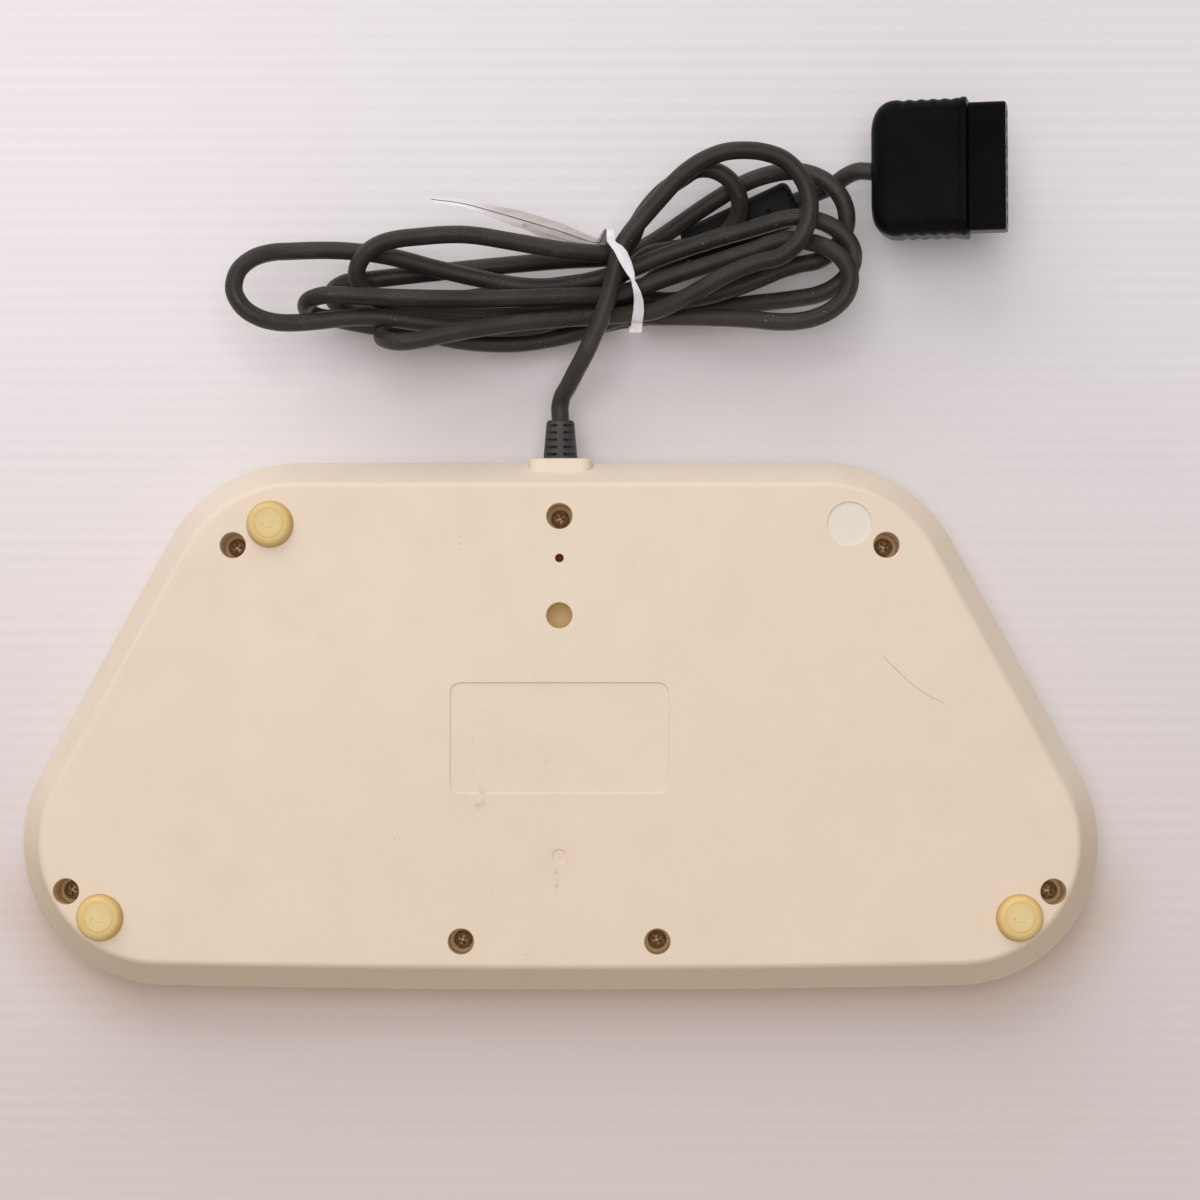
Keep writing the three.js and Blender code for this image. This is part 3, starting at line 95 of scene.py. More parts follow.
# The cord's centre line from the strain relief to the plug, in millimetres
ROUTE = [
    (0, 84.7, 17), (0, 86, 17), (0.15, 89.41, 17.24), (-0.56, 92.45, 16.11), (-1.98, 94.62, 13.86),
    (-3.33, 96.92, 11.71), (-4.68, 99.23, 9.56), (-6.11, 101.55, 7.49), (-7.59, 104.32, 6.21),
    (-9.1, 107.7, 5.8), (-11.38, 112.72, 4.98), (-13.18, 117.98, 4.54), (-14.78, 123.32, 4.29),
    (-15.92, 128.78, 4.33), (-17.8, 134.01, 4.24), (-20.98, 138.56, 3.75), (-24.63, 142.76, 3.32),
    (-28.33, 146.93, 2.97), (-32.07, 151.06, 2.72), (-36.25, 154.74, 2.52), (-40.99, 157.67, 2.5),
    (-46.21, 159.58, 2.5), (-51.76, 160.06, 2.5), (-57.3, 159.49, 2.5), (-62.52, 157.59, 2.5),
    (-66.64, 153.87, 2.5), (-69.22, 148.96, 2.5), (-69.98, 143.46, 2.5), (-68.79, 138.04, 2.5),
    (-65.81, 133.36, 2.5), (-61.38, 130.03, 2.5), (-55.97, 128.71, 2.5), (-50.7, 126.91, 2.71),
    (-45.62, 124.67, 3.17), (-40.76, 122.01, 3.86), (-35.94, 119.35, 4.78), (-30.99, 117.07, 5.96),
    (-25.89, 115.4, 7.45), (-20.62, 115.04, 9.23), (-15.34, 114.81, 11.01), (-9.9, 114.38, 10.9),
    (-4.51, 113.92, 9.53), (0.9, 113.38, 8.29), (6.33, 112.77, 7.16), (11.77, 112.07, 6.15),
    (17.22, 111.25, 5.25), (22.66, 110.33, 4.46), (28.11, 109.34, 3.79), (33.54, 108.16, 3.25),
    (38.97, 106.93, 2.89), (44.46, 106.3, 2.72), (48.86, 107.39, 5.68), (49.88, 109.13, 10.76),
    (47.08, 110.65, 15.18), (41.83, 110.96, 16.48), (36.36, 109.89, 16.35), (30.9, 108.73, 16.42),
    (25.38, 107.96, 16.56), (19.82, 107.58, 16.83), (14.26, 107.55, 17.23), (8.72, 108.04, 17.68),
    (3.27, 108.95, 18.47), (-2.17, 110.14, 18.67), (-7.5, 111.78, 18.68), (-12.71, 113.69, 18.2),
    (-17.78, 115.01, 16.33), (-23.15, 115.1, 15.2), (-28.26, 114.63, 13.06), (-33.51, 114.37, 11.2),
    (-38.84, 114.09, 9.57), (-44.2, 113.75, 8.08), (-49.61, 113.34, 6.75), (-55.04, 112.81, 5.61),
    (-60.5, 112.14, 4.66), (-66, 112.1, 3.79), (-71.43, 113.1, 3.05), (-76.4, 115.55, 2.64),
    (-80.11, 119.64, 2.69), (-81.21, 124.96, 3.36), (-79.01, 129.87, 4.61), (-74.85, 133.21, 6.15),
    (-70.03, 135.16, 8.11), (-64.62, 135.82, 8), (-59.22, 134.59, 7.59), (-54, 132.62, 7.29),
    (-48.7, 130.89, 7.18), (-43.38, 129.22, 7.24), (-38.06, 127.55, 7.47), (-32.75, 125.88, 7.89),
    (-27.48, 124.17, 8.5), (-22.26, 122.31, 9.05), (-17.03, 120.98, 10.38), (-11.51, 120.31, 10.01),
    (-6.14, 119.97, 8.56), (-0.67, 119.71, 7.56), (4.86, 119.44, 6.91), (10.38, 119.14, 6.12),
    (15.92, 118.9, 5.49), (21.46, 118.72, 4.91), (27.02, 118.63, 4.38), (32.58, 118.61, 3.92),
    (38.14, 118.66, 3.53), (43.71, 118.75, 3.2), (49.28, 118.94, 2.94), (54.86, 119.2, 2.77),
    (60.43, 119.43, 2.61), (65.98, 119.44, 2.72), (70.38, 118.4, 5.71), (71.37, 116.66, 10.79),
    (68.55, 115.14, 15.2), (63.35, 114.54, 16.88), (58.16, 113.71, 18.74), (52.72, 112.8, 19.61),
    (47.52, 112.03, 21.42), (42.17, 111.38, 22.64), (36.62, 110.88, 22.27), (31.06, 110.51, 22.4),
    (25.48, 110.33, 22.48), (19.91, 110.4, 22.64), (14.34, 110.68, 22.87), (8.78, 111.13, 23.15),
    (3.25, 111.68, 23.61), (-2.28, 112.42, 23.78), (-7.72, 113.31, 24.53), (-13.11, 114.25, 24.3),
    (-18.23, 115.07, 22.39), (-23.69, 115.74, 22.26), (-29.19, 116.32, 21.65), (-34.65, 116.92, 20.7),
    (-40.12, 117.49, 19.78), (-45.57, 118.01, 18.69), (-50.93, 118.5, 17.2), (-56.27, 118.93, 15.66),
    (-61.68, 119.31, 14.34), (-67.08, 119.86, 13.05), (-72.43, 120.68, 11.72), (-77.42, 122.86, 10.65),
    (-81.31, 126.72, 9.94), (-82.5, 131.98, 9.17), (-80.03, 136.83, 8.34), (-75.48, 140, 8.18),
    (-70.2, 141.75, 8.4), (-64.66, 142.01, 8.78), (-59.26, 140.73, 9.16), (-53.96, 139.05, 8.71),
    (-48.6, 137.53, 8.5), (-43.24, 135.96, 8.45), (-37.92, 134.29, 8.57), (-32.63, 132.54, 8.86),
    (-27.39, 130.69, 9.3), (-22.24, 128.68, 10.09), (-16.95, 127.02, 10.45), (-11.9, 125.72, 12.44),
    (-6.51, 124.49, 12.85), (-1.05, 123.52, 12.27), (4.47, 122.97, 11.71), (10.03, 123.08, 11.25),
    (15.55, 123.76, 10.86), (21.01, 124.84, 10.49), (26.46, 125.97, 10.17), (31.9, 127.21, 9.91),
    (37.31, 128.55, 9.71), (42.68, 130.04, 9.43), (48.1, 131.35, 9.51), (53.58, 132.3, 9.79),
    (59.04, 132.72, 8.75), (64.55, 132.85, 7.92), (70.11, 132.74, 7.47), (75.63, 132.42, 6.73),
    (80.97, 131.84, 5.28), (85.97, 129.97, 3.76), (89.88, 126.21, 2.78), (90.97, 120.87, 2.5),
    (88.36, 116.04, 2.5), (83.68, 113.09, 2.91), (78.33, 111.96, 3.85), (72.82, 112.05, 4.71),
    (67.28, 112.56, 5.08), (61.74, 113.21, 5.1), (56.2, 113.65, 5.56), (50.65, 113.63, 6.13),
    (45.13, 113.15, 6.77), (39.64, 112.45, 7.54), (34.16, 111.89, 8.41), (28.68, 111.52, 9.38),
    (23.2, 111.36, 10.42), (17.7, 111.33, 11.34), (12.2, 111.55, 12.26), (6.75, 112.19, 13.25),
    (1.48, 113.67, 14.33), (-3.66, 115.64, 15.19), (-8.7, 118, 15.65), (-13.86, 120.06, 16.07),
    (-19.26, 121.2, 16.66), (-24.68, 120.32, 17.5), (-30, 119.63, 16.12), (-35.49, 119.89, 15.16),
    (-40.95, 120.58, 14.27), (-46.32, 121.89, 13.55), (-51.61, 123.6, 13.02), (-56.82, 125.56, 12.67),
    (-61.97, 127.7, 12.48), (-67.3, 129.31, 12.46), (-72.72, 130.5, 12.8), (-77.23, 133.65, 13.55),
    (-80.18, 138.2, 14.26), (-80.93, 143.51, 13), (-79.16, 148.71, 12.31), (-75.36, 152.74, 12.12),
    (-70.4, 155.21, 12.37), (-64.93, 156, 13), (-59.45, 155.29, 13.67), (-54.14, 153.73, 14.41),
    (-49.17, 151.47, 15.51), (-44.39, 148.63, 15.94), (-39.73, 145.68, 16.76), (-35.15, 142.6, 17.61),
    (-30.59, 139.55, 18.61), (-25.93, 136.75, 19.88), (-21.04, 134.36, 20.99), (-15.99, 132.96, 22.17),
    (-10.86, 132.27, 20.15), (-5.32, 131.91, 19.55), (0.19, 131.51, 18.8), (5.7, 130.97, 18.08),
    (11.21, 130.4, 17.46), (16.74, 129.82, 16.92), (22.26, 129.21, 16.45), (27.79, 128.6, 16.05),
    (33.33, 127.96, 15.8), (38.86, 127.32, 15.47), (44.39, 126.66, 15.03), (49.92, 126, 14.78),
    (55.46, 125.32, 14.51), (60.94, 124.69, 14.94), (64.67, 122.76, 18.36), (64.37, 120.09, 23.07),
    (60.23, 118.36, 26.16), (54.8, 118.33, 25.53), (49.34, 118.8, 24.56), (43.84, 119.38, 23.85),
    (38.35, 119.96, 22.99), (32.85, 120.51, 22.22), (27.35, 121.08, 21.49), (21.85, 121.7, 20.84),
    (16.33, 122.36, 20.28), (10.83, 123.07, 19.75), (5.31, 123.82, 19.36), (-0.21, 124.55, 19),
    (-5.72, 125.2, 18.49), (-11.22, 125.85, 19.11), (-16.2, 126.76, 16.94), (-20.64, 129.65, 16.14),
    (-25.07, 132.68, 15.08), (-30.47, 133.95, 14.68), (-35.94, 134.88, 14.59), (-41.26, 136.53, 14.45),
    (-46.47, 138.31, 14.4), (-49.84, 142.3, 12.87), (-50.61, 147.26, 10.57), (-48.45, 152.08, 9.04),
    (-43.97, 155.25, 8.41), (-38.55, 155.69, 8.57), (-33.77, 152.85, 8.7), (-29.14, 149.74, 8.8),
    (-25.29, 145.72, 9.03), (-22.14, 141.17, 9.55), (-19.91, 136.1, 10.23), (-15.83, 132.61, 10.01),
    (-10.44, 132.07, 8.76), (-4.97, 132.36, 7.71), (0.5, 132.84, 6.69), (5.94, 133.64, 5.77),
    (11.4, 134.51, 4.97), (16.87, 135.38, 4.29), (22.35, 136.21, 3.73), (27.9, 136.59, 3.29),
    (33.47, 136.41, 2.98), (39.02, 135.91, 2.78), (44.57, 135.33, 2.72), (49.96, 134.02, 3.05),
    (54.58, 131.09, 3.92), (56.96, 126.47, 5.7), (55.5, 121.82, 8.2), (51.38, 118.46, 9.69),
    (46.46, 116.74, 11.59), (41.01, 116.1, 12.44), (35.5, 115.61, 13.19), (29.99, 115.32, 14.04),
    (24.5, 115.19, 15), (18.99, 115.21, 15.85), (13.52, 115.44, 16.94), (8.09, 115.97, 18.08),
    (2.69, 116.75, 19.27), (-2.69, 117.67, 20.43), (-8.09, 118.6, 21.48), (-13.52, 119.76, 21.97),
    (-18.69, 121.62, 22.81), (-23.48, 124.38, 22.5), (-28.03, 128.09, 22.71), (-31.05, 130.51, 22.67),
    (-33.37, 132.86, 24.48), (-36.34, 134.87, 25.42), (-39.83, 136.37, 24.67), (-43.32, 137.83, 23.86),
    (-46.8, 139.4, 23.25), (-50.29, 140.97, 22.64), (-53.78, 142.53, 22.04), (-57.27, 144.1, 21.43),
    (-60.76, 145.67, 20.83), (-64.23, 147.26, 20.21), (-67.72, 148.82, 19.61), (-71.28, 150.28, 19.14),
    (-74.87, 151.67, 18.72), (-78.17, 153.23, 17.51), (-80.93, 154.97, 15.43), (-84.19, 156.06, 13.77),
    (-88.01, 155.9, 13.16),
]


# Mesh helpers, all in millimetres
def mesh_of(name, verts, faces):
    mesh = bpy.data.meshes.new(name)
    mesh.from_pydata([(x * MM, y * MM, z * MM) for x, y, z in verts], [], faces)
    return mesh


def put(name, verts, faces, material, body="base", smooth=35.0, weighted=True):
    """A new mesh piece from millimetre points, riding on a body."""
    piece = bpy.data.objects.new(name, mesh_of(name, verts, faces))
    return dress(piece, material, body, smooth, weighted)


def dress(obj, material, body="base", smooth=35.0, weighted=True):
    """Links, shades and paints a piece, and lets it ride."""
    if obj.name not in scene.collection.objects:
        scene.collection.objects.link(obj)
    obj.data.materials.clear()
    obj.data.materials.append(material)
    obj.data.shade_smooth()
    obj.data.set_sharp_from_angle(angle=math.radians(smooth))
    if weighted:
        normals = obj.modifiers.new("normals", "WEIGHTED_NORMAL")
        normals.keep_sharp = True
        normals.weight = 80
    if body:
        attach(obj, body)
    return obj


def lofted(sections):
    """Points and faces through sections of equal count, each a closed ring."""
    count = len(sections[0])
    verts = [p for s in sections for p in s]
    faces = []
    for s in range(len(sections) - 1):
        for i in range(count):
            a, b = s * count + i, s * count + (i + 1) % count
            faces.append((a, b, b + count, a + count))
    faces.append(tuple(reversed(range(count))))
    faces.append(tuple(range((len(sections) - 1) * count, len(sections) * count)))
    return verts, faces


def raw(verts, faces):
    """A bare object to cut or join with, with its faces turned outwards."""
    mesh = mesh_of("raw", verts, faces)
    work = bmesh.new()
    work.from_mesh(mesh)
    bmesh.ops.recalc_face_normals(work, faces=work.faces)
    work.to_mesh(mesh)
    work.free()
    obj = bpy.data.objects.new("raw", mesh)
    scene.collection.objects.link(obj)
    return obj


def combined(base, steps):
    """base with each (operation, object) done to it in turn; the other objects are removed."""
    for operation, other in steps:
        mod = base.modifiers.new("b", "BOOLEAN")
        mod.operation, mod.object, mod.solver = operation, other, "MANIFOLD"
    bpy.context.view_layer.update()
    made = bpy.data.meshes.new_from_object(base.evaluated_get(bpy.context.evaluated_depsgraph_get()))
    for _, other in steps:
        bpy.data.objects.remove(other)
    base.modifiers.clear()
    base.data = made
    return base


def plus(*shapes):
    """A step that adds shapes, none of which touch each other."""
    return "UNION", raw(*union_of(shapes))


def minus(*shapes):
    """A step that takes shapes away, none of which touch each other."""
    return "DIFFERENCE", raw(*union_of(shapes))


def named(obj, name, material):
    obj.name = name
    obj.data.name = name
    return dress(obj, material)


def stands_for(piece, slot, *replaced):
    """Hides the solids that a piece replaces; slot is not used."""
    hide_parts(*replaced)
    return piece


def softened(piece, width, segments):
    """Rounds a piece's sharp edges."""
    bevel = piece.modifiers.new("round", "BEVEL")
    bevel.width, bevel.segments, bevel.limit_method = width * MM, segments, "ANGLE"
    bevel.angle_limit = math.radians(50)


def circle(r, sides):
    """Points round the origin, as pairs."""
    angles = [2 * math.pi * k / sides for k in range(sides)]
    return [(r * math.cos(a), r * math.sin(a)) for a in angles]


def rectangle(a0, b0, a1, b1):
    return [(a0, b0), (a1, b0), (a1, b1), (a0, b1)]


def quarter(steps):
    """Angles from just above 0 to a right angle."""
    return [math.pi / 2 * k / steps for k in range(1, steps + 1)]


def along_z(sections, x=0.0, y=0.0):
    """A solid up Z through (z, ring) pairs."""
    return lofted([[(x + a, y + b, z) for a, b in ring] for z, ring in sections])


def along_y(sections, z=0.0):
    """A solid along Y through (y, ring) pairs."""
    return lofted([[(a, y, z + b) for a, b in ring] for y, ring in sections])


def turned(profile, x=0.0, y=0.0, sides=48):
    """A closed solid of revolution about Z: profile from one end of the axis to the other."""
    return along_z([(z, circle(r, sides)) for r, z in profile], x, y)


def union_of(shapes):
    """Several (points, faces) that don't touch, as one."""
    verts, faces = [], []
    for v, f in shapes:
        start = len(verts)
        verts += v
        faces += [tuple(i + start for i in face) for face in f]
    return verts, faces


def rounded_ring(width, depth, corner, steps, grow=0.0):
    """A rounded rectangle's points, as pairs, moved out by grow."""
    width, depth, corner = width + 2 * grow, depth + 2 * grow, corner + grow
    points = []
    for side in range(4):
        sx = 1 if side in (0, 3) else -1
        sy = 1 if side < 2 else -1
        for step in range(steps + 1):
            a = (side + step / steps) * math.pi / 2
            points.append((sx * (width / 2 - corner) + corner * math.cos(a),
                           sy * (depth / 2 - corner) + corner * math.sin(a)))
    return points


def moved(shape, matrix):
    verts, faces = shape
    return [tuple(matrix @ Vector(p)) for p in verts], faces


def along_x(sections, matrix):
    """A solid along X through (x, ring) pairs, moved by matrix."""
    return moved(lofted([[(x, a, b) for a, b in ring] for x, ring in sections]), matrix)


def arc(x0, z0, x1, z1, x2, z2, steps):
    """A quadratic curve from the first to the third point, bending at the second."""
    found = []
    for k in range(steps + 1):
        t = k / steps
        found.append(((1 - t) ** 2 * x0 + 2 * t * (1 - t) * x1 + t * t * x2,
                      (1 - t) ** 2 * z0 + 2 * t * (1 - t) * z1 + t * t * z2))
    return found


# Case
def outline(inset, front_steps=36, back_steps=28, bow_steps=12):
    """The case's outline seen from above, as pairs, moved in by inset."""
    front = Vector((WIDTH / 2 - FRONT_R, FRONT_R + BOW - DEPTH / 2))
    back = Vector((BACK_STRAIGHT / 2, DEPTH / 2 - BACK_R))
    slant = back - front
    tangent = math.atan2(slant.y, slant.x) - math.acos((FRONT_R - BACK_R) / slant.length)
    half = [(front.x * k / bow_steps, inset - DEPTH / 2 + BOW * (k / bow_steps) ** 2)
            for k in range(bow_steps)]
    for centre, radius, start, stop, steps in (
        (front, FRONT_R - inset, -math.pi / 2, tangent, front_steps),
        (back, BACK_R - inset, tangent, math.pi / 2, back_steps),
    ):
        for k in range(steps + 1):
            a = start + (stop - start) * k / steps
            half.append((centre.x + radius * math.cos(a), centre.y + radius * math.sin(a)))
    return half + [(-x, y) for x, y in reversed(half[1:])]


def on_case(place):
    """A place on the case, in metres of the shared frame."""
    return place[0] * MM, (place[1] + SHIFT_Y) * MM


def case_loft(rings):
    return lofted([[(x, y + SHIFT_Y, z) for x, y in outline(inset)] for inset, z in rings])


def cylinder(d, low, high, x, y, sides=48):
    return turned([(d / 2, low), (d / 2, high)], x, y + SHIFT_Y, sides)


def mouth(d, low, high, x, y, round_r, opens_down=True, sides=56):
    """A round cutter whose mouth is rounded over by round_r at the open end."""
    edge, sign = (low, 1) if opens_down else (high, -1)
    profile = [(d / 2 + round_r, edge - sign), (d / 2 + round_r, edge)]
    profile += [(d / 2 + round_r * (1 - math.sin(a)), edge + sign * round_r * (1 - math.cos(a)))
                for a in quarter(4)]
    profile += [(d / 2, high if opens_down else low)]
    if not opens_down:
        profile.reverse()
    return turned(profile, x, y + SHIFT_Y, sides)


def boss(low, high):
    """The cord's boss on the back, between two heights."""
    whole = along_y([(BOSS_END + y, rounded_ring(18, 14, 3, 6, grow))
                     for y, grow in ((-6.2, 0), (-0.8, 0), (-0.25, -0.2), (0, -0.7))], RIM_Z)
    base = rectangle(-20, BOSS_END - 12, 20, BOSS_END + 5)
    return combined(raw(*whole), [("INTERSECT", raw(*along_z([(low, base), (high, base)])))])


def relief_hole():
    """Cutter for the strain relief's seat and the hole that it comes out of."""
    return along_y([(BOSS_END + y, circle(r, 40))
                    for y, r in ((1, 5.05), (-2.7, 5.05), (-2.7, 6.8), (-9, 6.8))], RIM_Z)


def bottom_case():
    """Lower half: wells with rounded mouths, foot recesses, label recess, gate mark and pin hole."""
    slope = FLARE / (14 - 1.5 - 1.2)
    corner = FLARE + 1.2 * slope
    rings = arc(corner + 1.25, UNDER_Z, corner, UNDER_Z, corner - 1.2 * slope, UNDER_Z + 1.2, 6)
    rings += arc(0.9 * slope, 14.6, 0, 15.5, 0, 16.2, 4)
    rings += [(0, 16.8), (0.08, 16.94), (0.22, 17.0)]
    inner = case_loft([(FLARE + WALL + 0.6, UNDER_Z + WALL), (WALL, 15.5), (WALL, 18)])
    tubes = [cylinder(WELL_TUBE, 4.2, 18, x, y) for x, y in WELLS]
    tubes += [cylinder(WELL_TUBE, 4.2, 16, 0, BLANK_WELL)]
    bores = [mouth(WELL_BORE, UNDER_Z, 16, x, y, 0.28) for x, y in WELLS]
    bores += [mouth(WELL_BORE, UNDER_Z, 13.6, 0, BLANK_WELL, 0.28)]
    bores += [mouth(2.4, UNDER_Z, 7, 0, PIN_HOLE, 0.15, sides=32)]
    bores += [mouth(13.0, UNDER_Z, 3.5, x, y, 0.1, sides=72) for x, y in FEET]
    bores += [mouth(12.3, UNDER_Z, 3.42, *BARE_FOOT, 0.12, sides=72)]
    bores += [mouth(4, UNDER_Z, 3.3, 0, GATE_MARK, 0.12, sides=32)]
    shanks = [cylinder(3.2, 15, 19, x, y, 24) for x, y in WELLS]
    label = along_z([(z, rounded_ring(60.5, 30.5, 2.8, 8, grow)) for z, grow in
                     ((2, 0.35), (3.0, 0.35), (3.06, 0.16), (3.2, 0.06), (3.4, 0))], 0, -3.6 + SHIFT_Y)
    case = combined(raw(*case_loft(rings)), [
        minus(inner), plus(*tubes), ("UNION", boss(2, RIM_Z)), minus(*bores), minus(*shanks),
        minus(label), minus(relief_hole())])
    stands_for(named(case, "lower_shell", cream), "case_plastic", "bottom_case")
    vent = [(0.02, 4.32), (0.6, 4.3), (1.0, 4.36), (1.3, 4.5), (1.3, 4.9), (0.02, 5.0)]
    put("vent_floor", *turned(vent, 0, PIN_HOLE + SHIFT_Y, 32), vent_brown)


def top_case():
    """Upper half: a leaning side, a rounded deck edge, and holes and guides for the buttons."""
    rings = [(0.22, RIM_Z + 0.3), (0.08, RIM_Z + 0.36), (0, RIM_Z + 0.5), (0, RIM_Z + 1.6)]
    rings += [(LEAN, DECK_Z - DECK_EDGE)]
    rings += [(LEAN + DECK_EDGE * (1 - math.cos(a)), DECK_Z - DECK_EDGE * (1 - math.sin(a)))
              for a in quarter(9)]
    inner = case_loft([(WALL, RIM_Z - 1), (WALL, RIM_Z + 1.8), (WALL + LEAN, DECK_Z - DECK_EDGE),
                       (WALL + LEAN + 1.2, DECK_Z - WALL)])
    floor_z = DECK_Z - WALL

    def in_turns(step, d, low, high):
        """One step with every second button's cylinder, then the others, because neighbours touch."""
        return [step(*[cylinder(d, low, high, x, y, 72) for x, y in BUTTONS[k::2]]) for k in (0, 1)]

    guides = in_turns(plus, 53.0, floor_z - 8, floor_z + 1.2)
    bores = in_turns(minus, 49.8, floor_z - 10, floor_z)
    holes = [mouth(45.0, floor_z - 2, DECK_Z, x, y, 0.7, False, 96) for x, y in BUTTONS]
    edge = [(z, rounded_ring(14.6, 6.6, 3.3, 10, grow)) for z, grow in
            ((floor_z - 2, 0), (DECK_Z - 0.35, 0), (DECK_Z - 0.1, 0.1), (DECK_Z, 0.35), (DECK_Z + 1, 0.35))]
    slots = [along_z(edge, x, y + SHIFT_Y) for x, y in SMALL_BUTTONS]
    case = combined(raw(*case_loft(rings)), [
        minus(inner), *guides, ("UNION", boss(RIM_Z + 0.3, 40)), minus(*holes), *bores, minus(*slots),
        minus(relief_hole())])
    stands_for(named(case, "upper_shell", cream), "case_plastic", "top_case")


# Materials: every one is built from object coordinates, in metres
def rgb(r, g, b):
    """A colour written as the 0-255 values seen in a picture."""
    return tuple(((c / 255 + 0.055) / 1.055) ** 2.4 if c > 10 else c / 255 / 12.92 for c in (r, g, b)) + (1,)


class Tree:
    """A node tree and a short way to add to it."""

    def __init__(self, tree):
        self.tree = tree

    def add(self, kind, **settings):
        node = self.tree.nodes.new(kind)
        for key, value in settings.items():
            setattr(node, key, value)
        return node

    def wire(self, node, values):
        """Links or sets each input of a node, by its number or name."""
        for key, value in values.items():
            if isinstance(value, bpy.types.NodeSocket):
                self.tree.links.new(value, node.inputs[key])
            else:
                node.inputs[key].default_value = value
        return node

    def made(self, kind, values, **settings):
        """The first output of a new node with these inputs."""
        return self.wire(self.add(kind, **settings), values).outputs[0]

    def sum(self, operation, *values):
        return self.made("ShaderNodeMath", dict(enumerate(values)), operation=operation)

    def times(self, first, *others):
        for value in others:
            first = self.sum("MULTIPLY", first, value)
        return first

    def step(self, value, low, high, to_low=0.0, to_high=1.0):
        """value from low to high as to_low to to_high, smoothly and clamped."""
        values = {0: value, 1: low, 2: high, 3: to_low, 4: to_high}
        return self.made("ShaderNodeMapRange", values, interpolation_type="SMOOTHSTEP")

    def mix(self, factor, a, b, **settings):
        node = self.add("ShaderNodeMix", data_type="RGBA", **settings)
        return self.wire(node, {0: factor, 6: a, 7: b}).outputs[2]

    def axes(self, place):
        return self.wire(self.add("ShaderNodeSeparateXYZ"), {0: place}).outputs


class Paint(Tree):
    """A material whose nodes start from the object's own coordinates."""

    def __init__(self, name, **sockets):
        self.material = bpy.data.materials.new(name)
        self.material.use_nodes = True
        super().__init__(self.material.node_tree)
        self.shader = self.tree.nodes["Principled BSDF"]
        self.wire(self.shader, {key.replace("_", " "): value for key, value in sockets.items()})
        self.place = self.add("ShaderNodeTexCoord").outputs["Object"]

    def vector(self, operation, a, b):
        return self.made("ShaderNodeVectorMath", {0: a, 1: b}, operation=operation)

    def noise(self, scale, detail=2.0, roughness=0.5, stretch=None, distortion=0.0):
        place = self.vector("MULTIPLY", self.place, stretch) if stretch else self.place
        return self.made("ShaderNodeTexNoise", {"Vector": place, "Scale": scale, "Detail": detail,
                                                "Roughness": roughness, "Distortion": distortion})

    def blotch(self, scale, detail, low, high, *limits):
        """Soft patches of noise, as a value between the limits."""
        return self.step(self.noise(scale, detail), low, high, *limits)

    def dots(self, scale, outer, inner, *patches):
        """Fine dots, only where a wider noise is strong."""
        cells = self.add("ShaderNodeTexVoronoi")
        self.wire(cells, {"Vector": self.place, "Scale": scale})
        return self.times(self.step(cells.outputs["Distance"], outer, inner), self.blotch(*patches))

    def over(self, tone, colour, amount, share):
        """colour laid over tone by amount times share."""
        return self.mix(self.times(amount, share), tone, colour)

    def from_point(self, x, y, z=0.0, flat=(1, 1, 1)):
        """Distance from a point in metres, with some axes left out by flat."""
        kept = self.vector("MULTIPLY", self.vector("SUBTRACT", self.place, (x, y, z)), flat)
        node = self.add("ShaderNodeVectorMath", operation="LENGTH")
        return self.wire(node, {0: kept}).outputs["Value"]

    def from_axis(self, x, y):
        """Distance from an upright line."""
        return self.from_point(x, y, 0, (1, 1, 0))

    def bump(self, height, distance):
        node = self.wire(self.add("ShaderNodeBump"), {"Height": height, "Distance": distance})
        normal = self.shader.inputs["Normal"]
        if normal.is_linked:
            self.wire(node, {"Normal": normal.links[0].from_socket})
        self.wire(self.shader, {"Normal": node.outputs[0]})

    def finish(self, tone, rough, *bumps):
        """Sets the colour, the roughness and each (height, depth), and gives the material."""
        self.wire(self.shader, {"Base Color": tone, "Roughness": rough})
        for height, distance in bumps:
            self.bump(height, distance)
        return self.material


def scratch(p, x, y, z):
    """One long curved scratch on the underside."""
    ring = p.sum("SUBTRACT", p.from_axis(-0.1278, 0.0489), 0.0484)
    wave = p.blotch(260, 2, 0.3, 0.7, -0.00012, 0.00012)
    line = p.step(p.sum("ABSOLUTE", p.sum("ADD", ring, wave)), 0.00016, 0.00004)
    return p.times(line, p.step(x, -0.1105, -0.104), p.step(x, -0.0888, -0.0915), p.step(z, 0.006, 0.005),
                   p.step(y, 0.0, 0.002))


